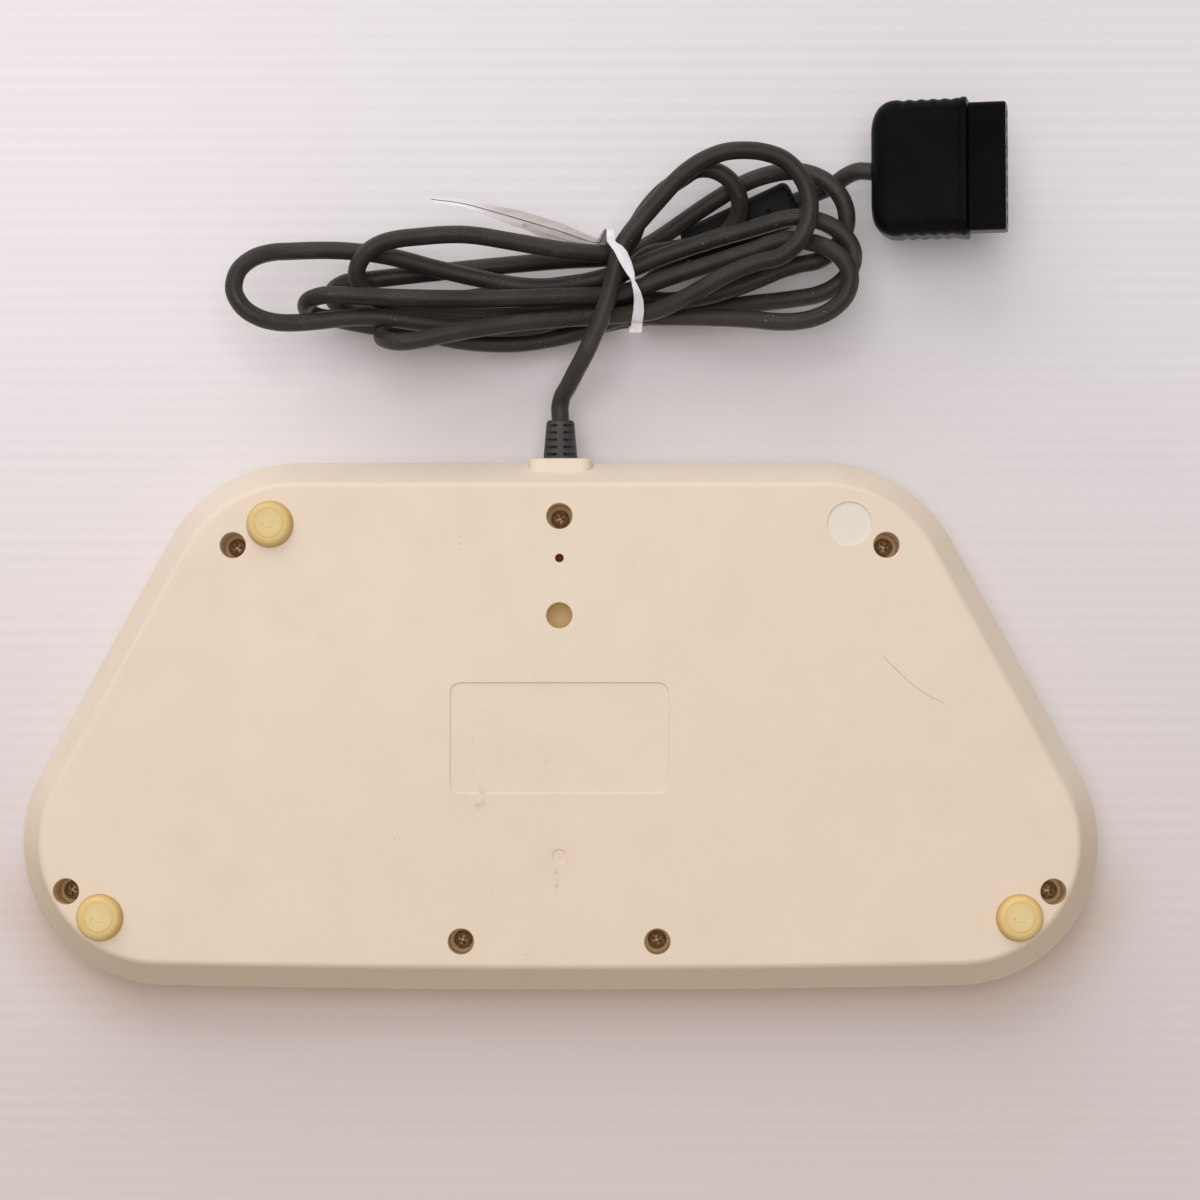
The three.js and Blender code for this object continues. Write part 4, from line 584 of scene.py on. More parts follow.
def cream_plastic():
    """Aged cream plastic: fine grain, soft yellow patches, painted shade and light by facing and place,
    painted warm bounce in the wells, specks, a scratch and faint stains.
    """
    p = Paint("cream_plastic", Subsurface_Weight=0.08, Subsurface_Scale=0.0012,
              Subsurface_Radius=(1.0, 0.7, 0.45), Specular_IOR_Level=0.42)
    x, y, z = p.axes(p.place)
    normal = p.axes(p.add("ShaderNodeNewGeometry").outputs["Normal"])
    level = p.sum("ABSOLUTE", normal[2])
    # painted shade and light: steep faces turned to the front are darker and warmer, those turned to the back
    # paler
    flank_painted_shade = p.mix(p.step(normal[1], -0.3, 0.5), rgb(229, 206, 179), rgb(237, 221, 202))
    # painted light falling off: the flat faces are paler towards the back and towards +X, darker towards the
    # front
    painted_falloff = p.step(p.sum("SUBTRACT", y, p.times(x, -0.3)), -0.085, 0.085)
    face = p.mix(painted_falloff, rgb(227, 208, 188), rgb(234, 217, 198))
    tone = p.mix(p.step(level, 0.5, 0.9), flank_painted_shade, face)
    tone = p.mix(p.blotch(14, 3, 0.35, 0.75, 0, 0.2), tone, rgb(226, 205, 178))
    tone = p.mix(p.blotch(90, 2, 0.45, 0.8, 0, 0.12), tone, rgb(214, 190, 160))
    tone = p.over(tone, rgb(150, 118, 84), p.dots(330, 0.10, 0.04, 60, 2, 0.62, 0.7), 0.5)
    # the cleaner floor of the bare recess, then painted warm bounce light inside the wells
    clean = p.times(p.step(p.from_axis(*on_case(BARE_FOOT)), 0.00612, 0.00595),
                    p.step(z, 0.0046, 0.0040))
    tone = p.over(tone, rgb(231, 221, 213), clean, 0.85)
    # painted warm bounce: the walls of the wells and the screw seats get a lighter, warmer tan than the face
    bored = p.times(p.step(level, 0.35, 0.2), p.step(y, 0.0695, 0.0685), p.step(z, 0.0036, 0.011),
                    p.step(z, 0.0145, 0.0138))
    seat = p.times(p.step(level, 0.85, 0.95), p.step(z, 0.0154, 0.0157), p.step(z, 0.0169, 0.0165))
    tone = p.mix(p.sum("MAXIMUM", bored, seat), tone, rgb(240, 210, 164))
    # painted warm bounce on the floor of the blank well too
    blank = p.times(p.step(p.from_axis(*on_case((0, BLANK_WELL))), 0.0042, 0.0039),
                    p.step(z, 0.0035, 0.006), p.step(z, 0.0150, 0.0145))
    tone = p.mix(blank, tone, rgb(236, 212, 160))
    stain = p.times(p.step(p.from_point(0.0226, -0.0205, 0.003), 0.005, 0.0005), p.blotch(420, 3, 0.5, 0.66))
    drip = p.times(p.step(p.from_point(0.0009, -0.0432, 0.003, (1.6, 0.35, 1)), 0.0018, 0.0004),
                   p.blotch(900, 2, 0.5, 0.62))
    tone = p.over(tone, rgb(146, 100, 58), p.sum("MAXIMUM", stain, drip), 0.3)
    line = scratch(p, x, y, z)
    tone = p.over(tone, rgb(158, 122, 98), line, 0.42)
    rough = p.sum("ADD", p.blotch(55, 4, 0.3, 0.7, 0.40, 0.52), p.times(line, -0.1))
    return p.finish(tone, rough, (p.noise(2400, 2, 0.6), 0.000018), (p.noise(320, 3), 0.00001),
                    (p.times(line, -1), 0.00006))


def rubber_cord():
    """Matte dark cord jacket with a dusty bloom, faint rubbed patches and lint."""
    p = Paint("cord_jacket", Specular_IOR_Level=0.4)
    tone = p.mix(p.blotch(60, 4, 0.35, 0.7), rgb(42, 38, 33), rgb(53, 48, 42))
    tone = p.mix(p.step(p.noise(700, 3, 0.6), 0.62, 0.78, 0, 0.3), tone, rgb(74, 70, 63))
    dust = p.times(p.step(p.noise(2200, 2, 0.6), 0.56, 0.66), p.blotch(90, 3, 0.48, 0.66))
    tone = p.over(tone, rgb(104, 99, 92), dust, 0.42)
    tone = p.over(tone, rgb(136, 130, 122), p.dots(290, 0.085, 0.05, 45, 2, 0.42, 0.52), 0.6)
    return p.finish(tone, p.blotch(180, 3, 0.3, 0.7, 0.4, 0.54), (p.noise(1800, 3, 0.6), 0.00003))


def scaled(tone, factor):
    return tuple(c * factor for c in tone[:3]) + (1,)


def black_shell(name, tone, low, high, grain=1500, depth=0.000015):
    """Black moulded plastic: fine texture, fingerprints in the gloss and a few pale dust specks."""
    p = Paint(name, Specular_IOR_Level=0.07)
    dust = p.dots(420, 0.075, 0.03, 130, 2, 0.56, 0.62)
    base = p.mix(p.blotch(45, 3, 0.3, 0.7), tone, scaled(tone, 1.5))
    return p.finish(p.over(base, rgb(120, 116, 108), dust, 0.45),
                    p.step(p.noise(75, 4, 0.6), 0.3, 0.72, low, high), (p.noise(grain, 2), depth))


def foot_rubber():
    """Amber, slightly clear rubber: a pale middle, a darker rim and scuffs where it stands."""
    p = Paint("amber_rubber", Transmission_Weight=0.1, IOR=1.45, Subsurface_Weight=0.45,
              Subsurface_Scale=0.003, Subsurface_Radius=(1.0, 0.75, 0.3), Coat_Weight=0.15,
              Coat_Roughness=0.3)
    far = p.from_axis(0, 0)
    tone = p.mix(p.step(far, 0.0014, 0.0042), rgb(234, 212, 152), rgb(232, 202, 136))
    tone = p.mix(p.step(far, 0.0054, 0.0064), tone, rgb(224, 182, 108))
    groove = p.times(p.step(far, 0.0037, 0.0040), p.step(far, 0.0046, 0.0043))
    tone = p.over(tone, rgb(208, 172, 98), groove, 0.16)
    scuff = p.times(p.step(p.noise(900, 4, 0.7, distortion=1.2), 0.56, 0.62), p.step(far, 0.0030, 0.0016))
    return p.finish(p.over(tone, rgb(104, 88, 60), scuff, 0.4), p.blotch(300, 3, 0.3, 0.7, 0.28, 0.45),
                    (p.noise(1100, 3), 0.00003), (p.times(groove, -1), 0.00008))


def screw_metal():
    """Dull brownish plated steel: two tones in soft patches, uneven gloss and a fine grain."""
    p = Paint("plated_steel", Metallic=1.0)
    tone = p.mix(p.step(p.noise(700, 4, 0.6), 0.35, 0.7), rgb(206, 190, 168), rgb(158, 138, 112))
    return p.finish(tone, p.blotch(1200, 2, 0.3, 0.7, 0.28, 0.48), (p.noise(2600, 2), 0.00002))


def plain(name, tone, other, rough_low, rough_high, scale=60, grain=1500, depth=0.000012, **sockets):
    """Moulded or stamped stock: two close tones, uneven gloss and a fine grain."""
    p = Paint(name, **sockets)
    return p.finish(p.mix(p.blotch(scale, 3, 0.35, 0.7), tone, other),
                    p.blotch(scale * 1.7, 3, 0.3, 0.7, rough_low, rough_high), (p.noise(grain, 2), depth))


def button_plastic(name, tone):
    """Glossy dyed cap: rubbed dull on the crown, with hair-fine scratches."""
    p = Paint(name, Specular_IOR_Level=0.4, Coat_Weight=0.12, Coat_Roughness=0.12)
    worn = p.step(p.axes(p.place)[2], 0.0455, 0.048, 0, 0.1)
    scratches = p.step(p.noise(160, 3, 0.6, (9, 0.7, 1), 0.4), 0.60, 0.66, 0, 0.12)
    scratches = p.sum("ADD", scratches, p.step(p.noise(160, 3, 0.6, (0.8, 8, 1), 0.4), 0.62, 0.68, 0, 0.1))
    return p.finish(p.mix(p.blotch(35, 3, 0.35, 0.7), tone, scaled(tone, 0.86)),
                    p.sum("ADD", p.sum("ADD", worn, scratches), p.blotch(70, 3, 0.3, 0.7, 0.2, 0.3)),
                    (p.noise(500, 2), 0.000006))


def tie_film():
    """Milky plastic film, faintly streaked."""
    p = Paint("tie_film", Subsurface_Weight=0.3, Subsurface_Scale=0.001)
    streaks = p.step(p.noise(300, 3, 0.5, (3, 0.6, 1)), 0.35, 0.7)
    return p.finish(p.mix(streaks, rgb(242, 235, 243), rgb(232, 225, 233)),
                    p.blotch(240, 2, 0.3, 0.7, 0.3, 0.5), (p.noise(1500, 2), 0.00003))


def clear_film():
    """The tie's loose ends: thin film that shows what is behind it, clearer near the knot."""
    p = Paint("clear_film", Alpha=0.42)
    tone = p.mix(p.step(p.noise(200, 3, 0.5, (0.6, 3, 1)), 0.35, 0.7), rgb(206, 196, 190), rgb(186, 173, 167))
    tone = p.mix(p.step(p.axes(p.place)[0], 0.014, 0.028), tone, rgb(252, 250, 254))
    return p.finish(tone, p.blotch(240, 2, 0.3, 0.7, 0.2, 0.38), (p.noise(500, 2), 0.00001))


cream = cream_plastic()
cord_jacket = rubber_cord()
plug_black = black_shell("plug_black", rgb(9, 9, 10), 0.3, 0.4)
nose_black = black_shell("nose_black", rgb(7, 7, 9), 0.22, 0.32)
ferrite_black = black_shell("ferrite_black", rgb(27, 27, 26), 0.46, 0.6, 900, 0.00003)
vent_brown = plain("vent_brown", rgb(110, 50, 14), rgb(92, 40, 12), 0.6, 0.75, 700, Specular_IOR_Level=0.06)
relief_grey = plain("relief_rubber", rgb(45, 46, 43), rgb(57, 58, 55), 0.52, 0.66, 150, 1200, 0.00003)
amber = foot_rubber()
plated = screw_metal()
film = tie_film()
clear = clear_film()
wire_dark = plain("tie_wire", rgb(128, 120, 120), rgb(98, 92, 92), 0.4, 0.55, 400, Metallic=0.3)
dome_grey = plain("dome_rubber", rgb(214, 213, 208), rgb(196, 195, 190), 0.5, 0.65, 120)
board_green = plain("board_laminate", rgb(47, 107, 60), rgb(36, 84, 48), 0.35, 0.5, 220)
chip_black = plain("chip_epoxy", rgb(28, 28, 30), rgb(38, 38, 40), 0.45, 0.6, 300)
pin_gold = plain("pin_gold", rgb(214, 176, 92), rgb(190, 150, 70), 0.22, 0.36, 500, Metallic=1.0)
key_grey = plain("key_grey", rgb(139, 141, 144), rgb(124, 126, 130), 0.38, 0.5, 90)
button_tones = {
    "white": rgb(238, 236, 230), "yellow": rgb(236, 190, 24), "green": rgb(44, 150, 78),
    "blue": rgb(42, 96, 184), "red": rgb(204, 48, 42),
}
button_paint = {key: button_plastic("button_" + key, tone) for key, tone in button_tones.items()}


# Cord
def smooth_line(points, steps):
    """A finer line through the points (Catmull-Rom)."""
    p = [Vector(q) for q in points]
    p = [2 * p[0] - p[1]] + p + [2 * p[-1] - p[-2]]
    fine = []
    for i in range(1, len(p) - 2):
        for k in range(steps):
            t = k / steps
            fine.append(0.5 * (2 * p[i] + (p[i + 1] - p[i - 1]) * t
                               + (2 * p[i - 1] - 5 * p[i] + 4 * p[i + 1] - p[i + 2]) * t * t
                               + (3 * p[i] - p[i - 1] - 3 * p[i + 1] + p[i + 2]) * t ** 3))
    return fine + [p[-2]]


def line_curve(name, line, radius, resolution, material):
    """A round cord along a line of points, riding on the base."""
    curve = bpy.data.curves.new(name, "CURVE")
    curve.dimensions = "3D"
    curve.bevel_depth, curve.bevel_resolution = radius * MM, resolution
    curve.use_fill_caps = True
    spline = curve.splines.new("POLY")
    spline.points.add(len(line) - 1)
    for point, place in zip(spline.points, line):
        point.co = (*(place * MM), 1)
    spline.use_smooth = True
    curve.materials.append(material)
    cord = bpy.data.objects.new(name, curve)
    scene.collection.objects.link(cord)
    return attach(cord, "base")


def make_cord():
    cord = line_curve("cord", CORD_LINE, CORD_D / 2, 6, cord_jacket)
    return stands_for(cord, "cord_rubber", "cord_lead", "cord_hank", "cord_tail")


def make_relief():
    """Tapered strain relief: five slots a side, a middle rib, and a soft collar where the cord enters."""
    root, tip = 71.3, 85.7
    length = tip - root
    profile = [(6.5, 0), (6.5, 2.0), (4.85, 2.0)]
    profile += [(4.85 - 0.95 * (z - 3.2) / (length - 3.2), z) for z in (3.2, 6, 9, 12, length - 0.9)]
    profile += [(3.75, length - 0.35), (3.45, length - 0.08), (3.1, length)]
    lying = Matrix.Translation(Vector((0, root, RIM_Z))) @ Matrix.Rotation(-math.pi / 2, 4, "X")
    cuts = []
    for k in range(5):
        y = tip - 1.75 - k * 2.06
        for sx in (-1, 1):
            for sz in (-1, 1):
                x0, z0 = sx * 0.9, RIM_Z + sz * 1.75
                slot = rectangle(x0, z0, x0 + sx * 8, z0 + sz * 8)
                cuts.append(along_y([(y - 0.38, slot), (y + 0.38, slot)]))
    body = combined(raw(*moved(turned(profile, sides=56), lying)), [minus(*cuts)])
    softened(body, 0.12, 2)
    return stands_for(named(body, "relief", relief_grey), "grey_rubber", "strain_relief")


def heading_matrix(place, turn, dip):
    return (Matrix.Translation(place) @ Matrix.Rotation(math.radians(turn), 4, "Z")
            @ Matrix.Rotation(math.radians(dip), 4, "Y"))


def make_ferrite():
    """Moulded jacket of the ferrite core: soft edges, end notches and pin holes."""
    matrix = heading_matrix(Vector((-51.7, 142.1 + SHIFT_Y, 22.4)), 155.8, 9)
    ends = [(-17 + 2 * (1 - math.cos(a)), 2 * (1 - math.sin(a))) for a in [0.0] + quarter(8)]
    ends += [(-2.62, 0), (2.58, 0)] + [(-x, g) for x, g in reversed(ends)]
    rings = [(x, rounded_ring(13 - 2 * g, 11 - 2 * g, 4 - g * 0.9, 8)) for x, g in ends]
    cuts = [moved(turned([(0.8, -7), (0.8, -4)], x, 0, 20), matrix) for x in (-9, 9)]
    notch = rectangle(-0.5, -6, 0.5, -3.4)
    cuts += [along_x([(sign * 16.2, notch), (sign * 18, notch)], matrix) for sign in (-1, 1)]
    bore = along_x([(x, circle(2.75, 32)) for x in (-19, 19)], matrix)
    body = combined(raw(*along_x(rings, matrix)), [minus(*cuts), minus(bore)])
    return stands_for(named(body, "ferrite_jacket", ferrite_black), "black_plastic", "ferrite_core")


def hull(points):
    """Convex hull of plane points, counter-clockwise."""
    points = sorted(set(points))

    def half(seq):
        out = []
        for p in seq:
            while len(out) > 1 and ((out[-1][0] - out[-2][0]) * (p[1] - out[-2][1])
                                    - (out[-1][1] - out[-2][1]) * (p[0] - out[-2][0])) <= 0:
                out.pop()
            out.append(p)
        return out[:-1]

    return half(points) + half(reversed(points))


TIE_X, TIE_Y, TIE_Z, TIE_SLANT = -17.4, 124.1, 14, 0.31
PINCH_Y = 123.5  # where the film is twisted


def tie_x(y):
    return TIE_X + TIE_SLANT * (y - TIE_Y)


def tie_ring(reach, count):
    """Points round the bundle where the tie grips it, evenly spaced, as (y, z)."""
    rim = []
    for x, y, z in (tuple(p) for p in CORD_LINE):
        if abs(x - tie_x(y)) < 4.6:
            rim += [(round(y + a, 4), round(z + b, 4)) for a, b in circle(reach, 28)]
    ring = hull(rim)
    steps = [math.dist(ring[i], ring[(i + 1) % len(ring)]) for i in range(len(ring))]
    total = sum(steps)
    found, at, i = [], 0.0, 0
    for k in range(count):
        want = total * k / count
        while at + steps[i] < want:
            at += steps[i]
            i += 1
        t = (want - at) / steps[i]
        a, b = ring[i], ring[(i + 1) % len(ring)]
        found.append((a[0] + (b[0] - a[0]) * t, a[1] + (b[1] - a[1]) * t))
    return found


# The band underneath, from the knot to the far side: y, middle x and width
BAND = [(134.2, -14.4, 2.4), (133.2, -15.7, 3.5), (131.6, -17.0, 3.7), (128.4, -18.5, 3.4),
        (125.4, -19.8, 2.4), (123.5, -20.5, 1.0), (121.9, -21.0, 1.6), (120.4, -21.6, 2.0),
        (117.9, -22.1, 2.6), (115.2, -22.1, 3.0), (112.0, -21.6, 3.1)]


def band_at(y):
    """Middle x and width of the band underneath, at a y."""
    if y >= BAND[0][0]:
        return BAND[0][1:]
    for (y1, x1, w1), (y0, x0, w0) in zip(BAND, BAND[1:]):
        if y >= y0:
            t = (y - y0) / (y1 - y0)
            t = t * t * (3 - 2 * t) if w0 < w1 < 1.7 or w1 < w0 < 1.7 else t
            return x0 + (x1 - x0) * t, w0 + (w1 - w0) * t
    return BAND[-1][1:]


def make_band(outer, inner, across=12):
    """Film drawn round the strands and twisted once where it crosses them."""
    low, high = min(z for _, z in outer), max(z for _, z in outer)
    middle_z = (low + high) / 2
    verts, faces = [], []
    for ring, lift in ((outer, 1), (inner, 0)):
        for y, z in ring:
            under = min(1.0, max(0.0, (middle_z + 4 - z) / 8))
            under *= under * (3 - 2 * under)
            x_under, w_under = band_at(y)
            middle = tie_x(y) + (x_under - tie_x(y)) * under
            width = 3.6 + (w_under - 3.6) * under
            twist = 0.16 * math.tanh((y - PINCH_Y) / 1.2) * under
            pinch = 0.3 * math.exp(-((y - PINCH_Y) / 1.4) ** 2) * under
            for k in range(across + 1):
                s = k / across - 0.5
                pleat = 0.05 * math.cos(s * 2 * math.pi * 3) * lift
                swell = (pinch + 0.12 * (1 - (2 * s) ** 2)) * lift
                grow = (pleat + swell + twist * s * width * lift) / math.hypot(y - TIE_Y, z - TIE_Z)
                verts.append((middle + s * width, y + (y - TIE_Y) * grow, max(z + (z - TIE_Z) * grow, 0.3)))
    count, row = len(outer), across + 1
    for i in range(count):
        j = (i + 1) % count
        for k in range(across):
            a, b = i * row + k, j * row + k
            c, d = count * row + a, count * row + b
            faces += [(a, b, b + 1, a + 1), (d, c, c + 1, d + 1)]
        for k in (0, across):
            a, b = i * row + k, j * row + k
            c, d = count * row + a, count * row + b
            faces.append((a, c, d, b) if k == 0 else (b, d, c, a))
    return stands_for(put("tie_band", verts, faces, film, smooth=60), "tie_film", "twist_tie")


def make_tie_end(name, points, widths, across=8):
    """A loose end of the tie: clear film, bowed a little, with a thin wire along it."""
    line = smooth_line(points, 8)
    last = len(line) - 1
    verts, faces = [], []
    for i, p in enumerate(line):
        f = i / last * (len(widths) - 1)
        w = widths[int(f)] + (widths[min(int(f) + 1, len(widths) - 1)] - widths[int(f)]) * (f - int(f))
        ahead = (line[min(i + 1, last)] - line[max(i - 1, 0)]).normalized()
        side = Vector((-ahead.y, ahead.x, 0)).normalized()
        for k in range(across + 1):
            s = k / across - 0.5
            verts.append(tuple(p + side * (s * w) + Vector((0, 0, 0.09 * w * math.cos(s * math.pi)))))
    row = across + 1
    for i in range(last):
        faces += [(a, a + row, a + row + 1, a + 1) for a in range(i * row, i * row + across)]
    end = put(name, verts, faces, clear, smooth=60, weighted=False)
    thick = end.modifiers.new("film", "SOLIDIFY")
    thick.thickness, thick.offset = 0.1 * MM, 0
    return [end, line_curve(name + "_wire", [p + Vector((0, 0, 0.2)) for p in line], 0.14, 3, wire_dark)]


def make_tie():
    outer = tie_ring(3.1, 160)
    band = make_band(outer, tie_ring(2.62, 160))
    y, z = max(outer)
    knot = (tie_x(y), y, z)
    long_end = make_tie_end("tie_end_1", [
        knot, (-10.6, 135.4, 10.6), (-0.1, 138.6, 10.2), (11, 141.9, 10.0), (19.4, 144.4, 10.3),
        (27.6, 146.6, 10.5), (36.4, 147.8, 10.6)], (1.2, 2.4, 4.4, 4.8, 3.2, 2.2, 2.0))
    short_end = make_tie_end("tie_end_2", [
        knot, (-9.8, 134.5, 12.2), (-3, 136.2, 12.2), (4, 138.2, 12.0), (10.6, 140.6, 11.8)],
        (1.2, 2.2, 3.2, 3.0, 1.6))
    return [band, *long_end, *short_end]


PLUG_TURN = heading_matrix(Vector((-88.3, 155.9, 13.1)), 180, 11)


def plug_section(x):
    """Half width, half height and corner of the plug's body x from its cord end."""
    end = max(0.0, 1 - x / 7)
    half_w = 19.35 - 7 * (1 - math.sqrt(max(0.0, 1 - end * end)))
    end = max(0.0, 1 - x / 5.5)
    half_h = 7.85 - 4.6 * (1 - math.sqrt(max(0.0, 1 - end * end)))
    if 7.6 < x < 24.2:
        half_w -= 0.34 * (1 - math.cos((x - 7.6) / 16.6 * 2 * math.pi * 5)) / 2
    if x > 25.2:
        grow = min(1.0, (x - 25.2) / 0.3) - max(0.0, (x - 26.65) / 0.35)
        half_w += 0.26 * grow
        half_h += 0.1 * grow
    return half_w, half_h, min(4.6, half_h - 0.3)


def make_plug():
    """Plug: a blunt rounded grip with scalloped sides and a rim, and a flat nose with nine holes."""
    xs = [7 * (1 - math.cos(a)) for a in [0.0] + quarter(10)]
    xs += [7.6 + 16.6 * k / 60 for k in range(61)]
    xs += [25.2, 25.35, 25.5, 26.65, 26.83, 27.0]
    rings = [(x, rounded_ring(2 * w, 2 * h, r, 8)) for x, (w, h, r) in ((x, plug_section(x)) for x in xs)]
    body = put("plug_grip", *along_x(rings, PLUG_TURN), plug_black, smooth=38)
    rings = [(x, rounded_ring(36.3 - 2 * g, 9 - 2 * g, 2 - g * 0.6, 7)) for x, g in
             ((21, 1.2), (27.25, 1.2), (27.3, 0.25), (27.5, 0), (37.3, 0), (37.6, 0.12), (37.8, 0.4))]
    nose = raw(*along_x(rings, PLUG_TURN))
    holes = [along_x([(x, [((k - 4) * 3.7 + a, b) for a, b in circle(r, 28)]) for x, r in
                      ((29.8, 1.2), (37.4, 1.2), (37.8, 1.4), (38.6, 1.4))], PLUG_TURN) for k in range(9)]
    for y in (-5.55, 5.55):
        groove = rectangle(y - 0.3, -3.2, y + 0.3, 3.2)
        holes.append(along_x([(37.2, groove), (38.6, groove)], PLUG_TURN))
    nose = named(combined(nose, [minus(*holes)]), "plug_tip", nose_black)
    return [stands_for(body, "black_plastic", "plug_body"), stands_for(nose, "black_plastic", "plug_nose")]


# The cord and what is on it
CORD_LINE = smooth_line(ROUTE, 5)
cord = make_cord()
relief = make_relief()
ferrite = make_ferrite()
tie = make_tie()
plug = make_plug()


# Feet, screws and caps
def make_feet():
    """Feet with their own origin in their middle, for the rings of their finish."""
    profile = [(0.02, 0.12), (1.6, 0.06), (3.0, 0.02), (3.8, 0.0), (4.2, 0.03), (4.6, 0.08), (5.0, 0.15),
               (5.35, 0.26), (5.65, 0.46), (5.92, 0.8), (6.14, 1.3), (6.32, 1.9), (6.44, 2.5), (6.47, 3.2)]
    for k, (x, y) in enumerate(FEET, 1):
        foot = put("foot_%d" % k, *turned(profile, sides=72), amber, None, 40)
        foot.location = (*on_case((x, y)), 0)
        bpy.context.view_layer.update()
        stands_for(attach(foot, "base"), "foot_rubber", "rubber_foot_%d" % k)


def screw_shape(head, height, shank, length, sides=36):
    """A pan head that faces down at z = 0, its shank going up, with a cross recess."""
    profile = [(0.02, -height)]
    profile += [(head / 2 * math.sin(a), -height * (0.42 + 0.58 * math.cos(a))) for a in quarter(7)]
    profile += [(head / 2, -0.06), (head / 2 - 0.06, 0), (shank / 2, 0), (shank / 2, length - 1.4),
                (0.3, length)]
    slot = along_z([(z - height, rectangle(-w, -d, w, d)) for z, w, d in
                    ((-0.5, head * 0.33, 0.36), (0.25, head * 0.33, 0.36), (1.25, 0.5, 0.2))])
    cuts = [minus(moved(slot, Matrix.Rotation(math.radians(turn), 4, "Z"))) for turn in (0, 90)]
    return combined(raw(*turned(profile, sides=sides)), cuts)


def make_screws():
    head = screw_shape(5.0, 2.2, 2.6, 14)
    for k, (x, y) in enumerate(WELLS):
        screw = bpy.data.objects.new("screw_%d" % (k + 1), head.data.copy())
        spin = Matrix.Rotation(math.radians((37 * k + 20) % 90), 4, "Z")
        screw.matrix_world = Matrix.Translation(Vector((x, y + SHIFT_Y, SCREW_SEAT)) * MM) @ spin
        dress(screw, plated, None, 40)
        bpy.context.view_layer.update()
        stands_for(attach(screw, "base"), "screw_steel", "case_screw_%d" % (k + 1))
    bpy.data.objects.remove(head)


def make_buttons():
    """Crowned caps, each sliding with its own body, and the rounded edges of the small keys."""
    floor_z = DECK_Z - WALL - 0.3
    profile = [(0.02, 29.6), (5.8, 29.6), (6, 29.8), (6, 43.6), (19.8, 39.8), (19.8, floor_z - 1.6),
               (24.3, floor_z - 1.6), (24.4, floor_z - 1.5), (24.4, floor_z - 0.1), (24.3, floor_z),
               (22, floor_z)]
    profile += [(22 * math.cos(a), 42 + 6 * math.sin(a) ** 0.92) for a in [0.0] + quarter(22)[:-1]]
    profile += [(0.02, 48)]
    for k, ((x, y), tone) in enumerate(zip(BUTTONS, BUTTON_TONES), 1):
        node = "play_button_%d" % k
        cap = put("cap_%d" % k, *turned(profile, x, y + SHIFT_Y, 96), button_paint[tone], node, 38)
        stands_for(cap, "button_" + tone, node)
    for name in ("select_button", "start_button"):
        key = nodes[name]
        softened(key, 0.45, 3)
        key.data.shade_smooth()
        key.data.set_sharp_from_angle(angle=math.radians(50))
        key.modifiers.new("normals", "WEIGHTED_NORMAL").keep_sharp = True


def make_domes():
    """Rubber domes under the caps and the small keys."""
    places = [("button_dome_%d" % k, "play_button_%d_press" % k, place, DOME)
              for k, place in enumerate(BUTTONS, 1)]
    places += [(name + "_dome", name + "_button_press", place, SMALL_DOME)
               for name, place in zip(("select", "start"), SMALL_BUTTONS)]
    for node, joint, (x, y), (base, height, travel) in places:
        roof, top, floor = base / 3, DOME_FLOOR + height, DOME_FLOOR
        profile = [(0.02, top - 1.2), (roof - 1.2, top - 1.2), (base / 2 - 2.6, floor), (base / 2, floor),
                   (base / 2, floor + 1.1), (base / 2 - 0.1, floor + 1.2), (base / 2 - 1.4, floor + 1.2),
                   (roof + 0.1, top - 0.25), (roof - 0.15, top), (0.02, top)]
        dome = put(node + "_cup", *turned(profile, x, y + SHIFT_Y, 40), dome_grey, smooth=40)
        stands_for(dome, "dome_rubber", node)
        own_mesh(dome)


bottom_case()
top_case()
make_feet()
make_screws()
make_buttons()
make_domes()

# Finishes of the CAD pieces that stay
stock = {"circuit_board": board_green, "controller_chip": chip_black, "cable_socket": key_grey,
         "select_button": key_grey, "start_button": key_grey, "inner_cable": cord_jacket,
         "contact_strip": pin_gold}
for name, node in nodes.items():
    paint = plated if name.startswith("board_screw") else stock.get(name)
    if paint:
        if not node.material_slots:
            node.data.materials.append(paint)
        for material_slot in node.material_slots:
            material_slot.material = paint


# Stage
def seen_directly(tree):
    """1 for rays from the camera, also by way of gloss or glass, or else 0."""
    path = tree.add("ShaderNodeLightPath").outputs
    seen = path["Is Camera Ray"]
    for key in ("Is Glossy Ray", "Is Transmission Ray"):
        seen = tree.sum("MAXIMUM", seen, path[key])
    return seen


def stage_plane(name, z, facing, shader_of, size=30.0):
    """A plane that a camera sees from one side only, and that no other light meets."""
    mesh = bpy.data.meshes.new(name)
    corners = [(x, y, z) for x, y in rectangle(-size, -size, size, size)]
    mesh.from_pydata(corners, [], [(0, 1, 2, 3) if facing > 0 else (3, 2, 1, 0)])
    plane = bpy.data.objects.new(name, mesh)
    scene.collection.objects.link(plane)
    material = bpy.data.materials.new(name)
    material.use_nodes = True
    material.node_tree.nodes.clear()
    tree = Tree(material.node_tree)
    front = tree.sum("SUBTRACT", 1, tree.add("ShaderNodeNewGeometry").outputs["Backfacing"])
    shown = tree.times(seen_directly(tree), front)
    surface = tree.made("ShaderNodeMixShader", {0: shown, 1: tree.made("ShaderNodeBsdfTransparent", {}),
                                                2: shader_of(tree)})
    tree.wire(tree.add("ShaderNodeOutputMaterial"), {0: surface})
    mesh.materials.append(material)


def floor_paint(tree):
    return tree.made("ShaderNodeBsdfDiffuse", {"Color": (0.80, 0.77, 0.755, 1)})


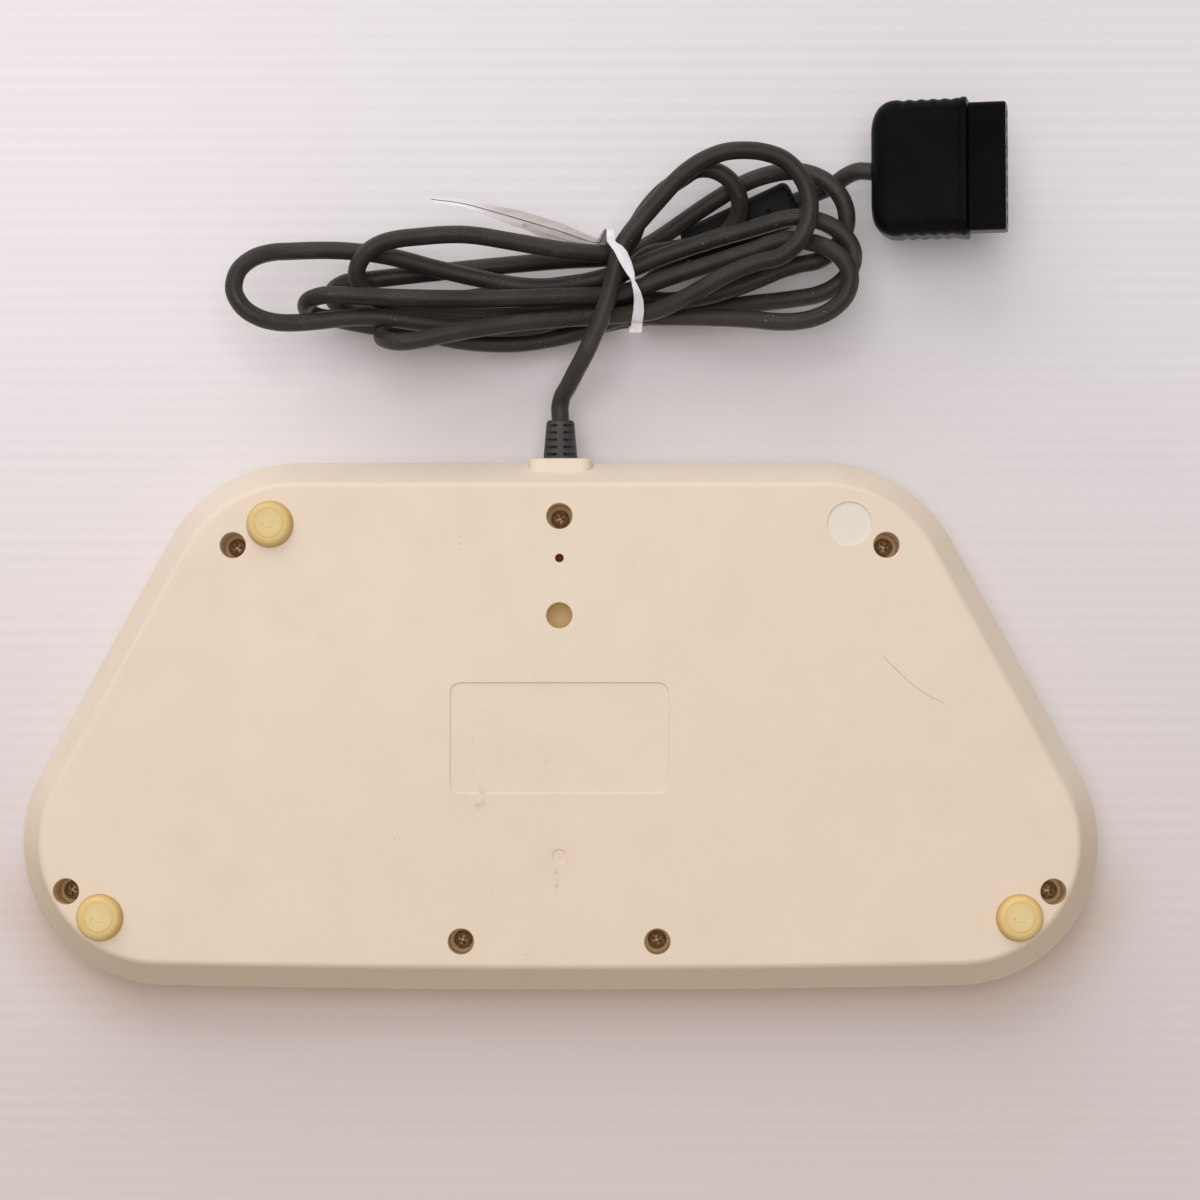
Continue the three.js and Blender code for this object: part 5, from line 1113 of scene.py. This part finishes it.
def board_paint(tree):
    """White ribbed board: fine ribs across, and painted light falling off, paler towards the top left of the
    view.
    """
    place = tree.add("ShaderNodeTexCoord").outputs["Object"]
    x, y, _ = tree.axes(place)
    # painted light falling off: paler towards +X and +Y, darker towards -X and -Y
    across = tree.step(x, 0.17, -0.17)
    top = tree.mix(across, (0.92, 0.87, 0.905, 1), (0.80, 0.765, 0.79, 1))
    bottom = tree.mix(across, (0.705, 0.618, 0.611, 1), (0.685, 0.611, 0.606, 1))
    tone = tree.mix(tree.step(y, -0.13, 0.19), bottom, top)
    # the case's warm bounce and shade on the board, past its front edge and round its front corners
    side = tree.sum("MAXIMUM", tree.sum("SUBTRACT", tree.sum("ABSOLUTE", x), 0.111), 0)
    front = tree.sum("MINIMUM", tree.sum("ADD", y, 0.0333), 0)
    apart = tree.sum("SQRT", tree.sum("ADD", tree.times(side, side), tree.times(front, front)))
    near = tree.times(tree.step(apart, 0.062, 0.038), tree.step(y, -0.03, -0.06))
    shade = tree.mix(near, (1, 1, 1, 1), (0.85, 0.76, 0.66, 1))
    ribs = tree.add("ShaderNodeTexWave", wave_type="BANDS", bands_direction="Y")
    tree.wire(ribs, {"Vector": place, "Scale": 2 * math.pi / 20 / RIB_PITCH, "Distortion": 0.15,
                     "Detail Scale": 0.4})
    bump = tree.made("ShaderNodeBump", {"Height": ribs.outputs["Fac"], "Distance": 0.00005})
    colour = tree.mix(1, tone, shade, blend_type="MULTIPLY")
    return tree.made("ShaderNodeBsdfDiffuse", {"Color": colour, "Normal": bump})


stage_plane("floor", 0.0, 1, floor_paint)
stage_plane("board", BOARD_Z, -1, board_paint)

# Lamps and world
for name, towards, strength, angle in (
    ("lamp_below", (-0.05, -0.11, 1), 1.22, 48),
    ("lamp_behind", (-0.32, -0.9, 0.5), 1.32, 56),
    ("lamp_above", (0.1, 0.14, -1), 1.85, 50),
):
    light = bpy.data.lights.new(name, "SUN")
    light.energy, light.angle = strength, math.radians(angle)
    lamp = bpy.data.objects.new(name, light)
    lamp.rotation_mode = "QUATERNION"
    lamp.rotation_quaternion = Vector(towards).to_track_quat("-Z", "Y")
    scene.collection.objects.link(lamp)
world = bpy.data.worlds.new("world")
scene.world = world
world.use_nodes = True
air = Tree(world.node_tree)
tint = air.mix(seen_directly(air), (0.36, 0.342, 0.324, 1), (0.752, 0.71, 0.681, 1))
air.wire(world.node_tree.nodes["Background"], {"Color": tint, "Strength": 1})
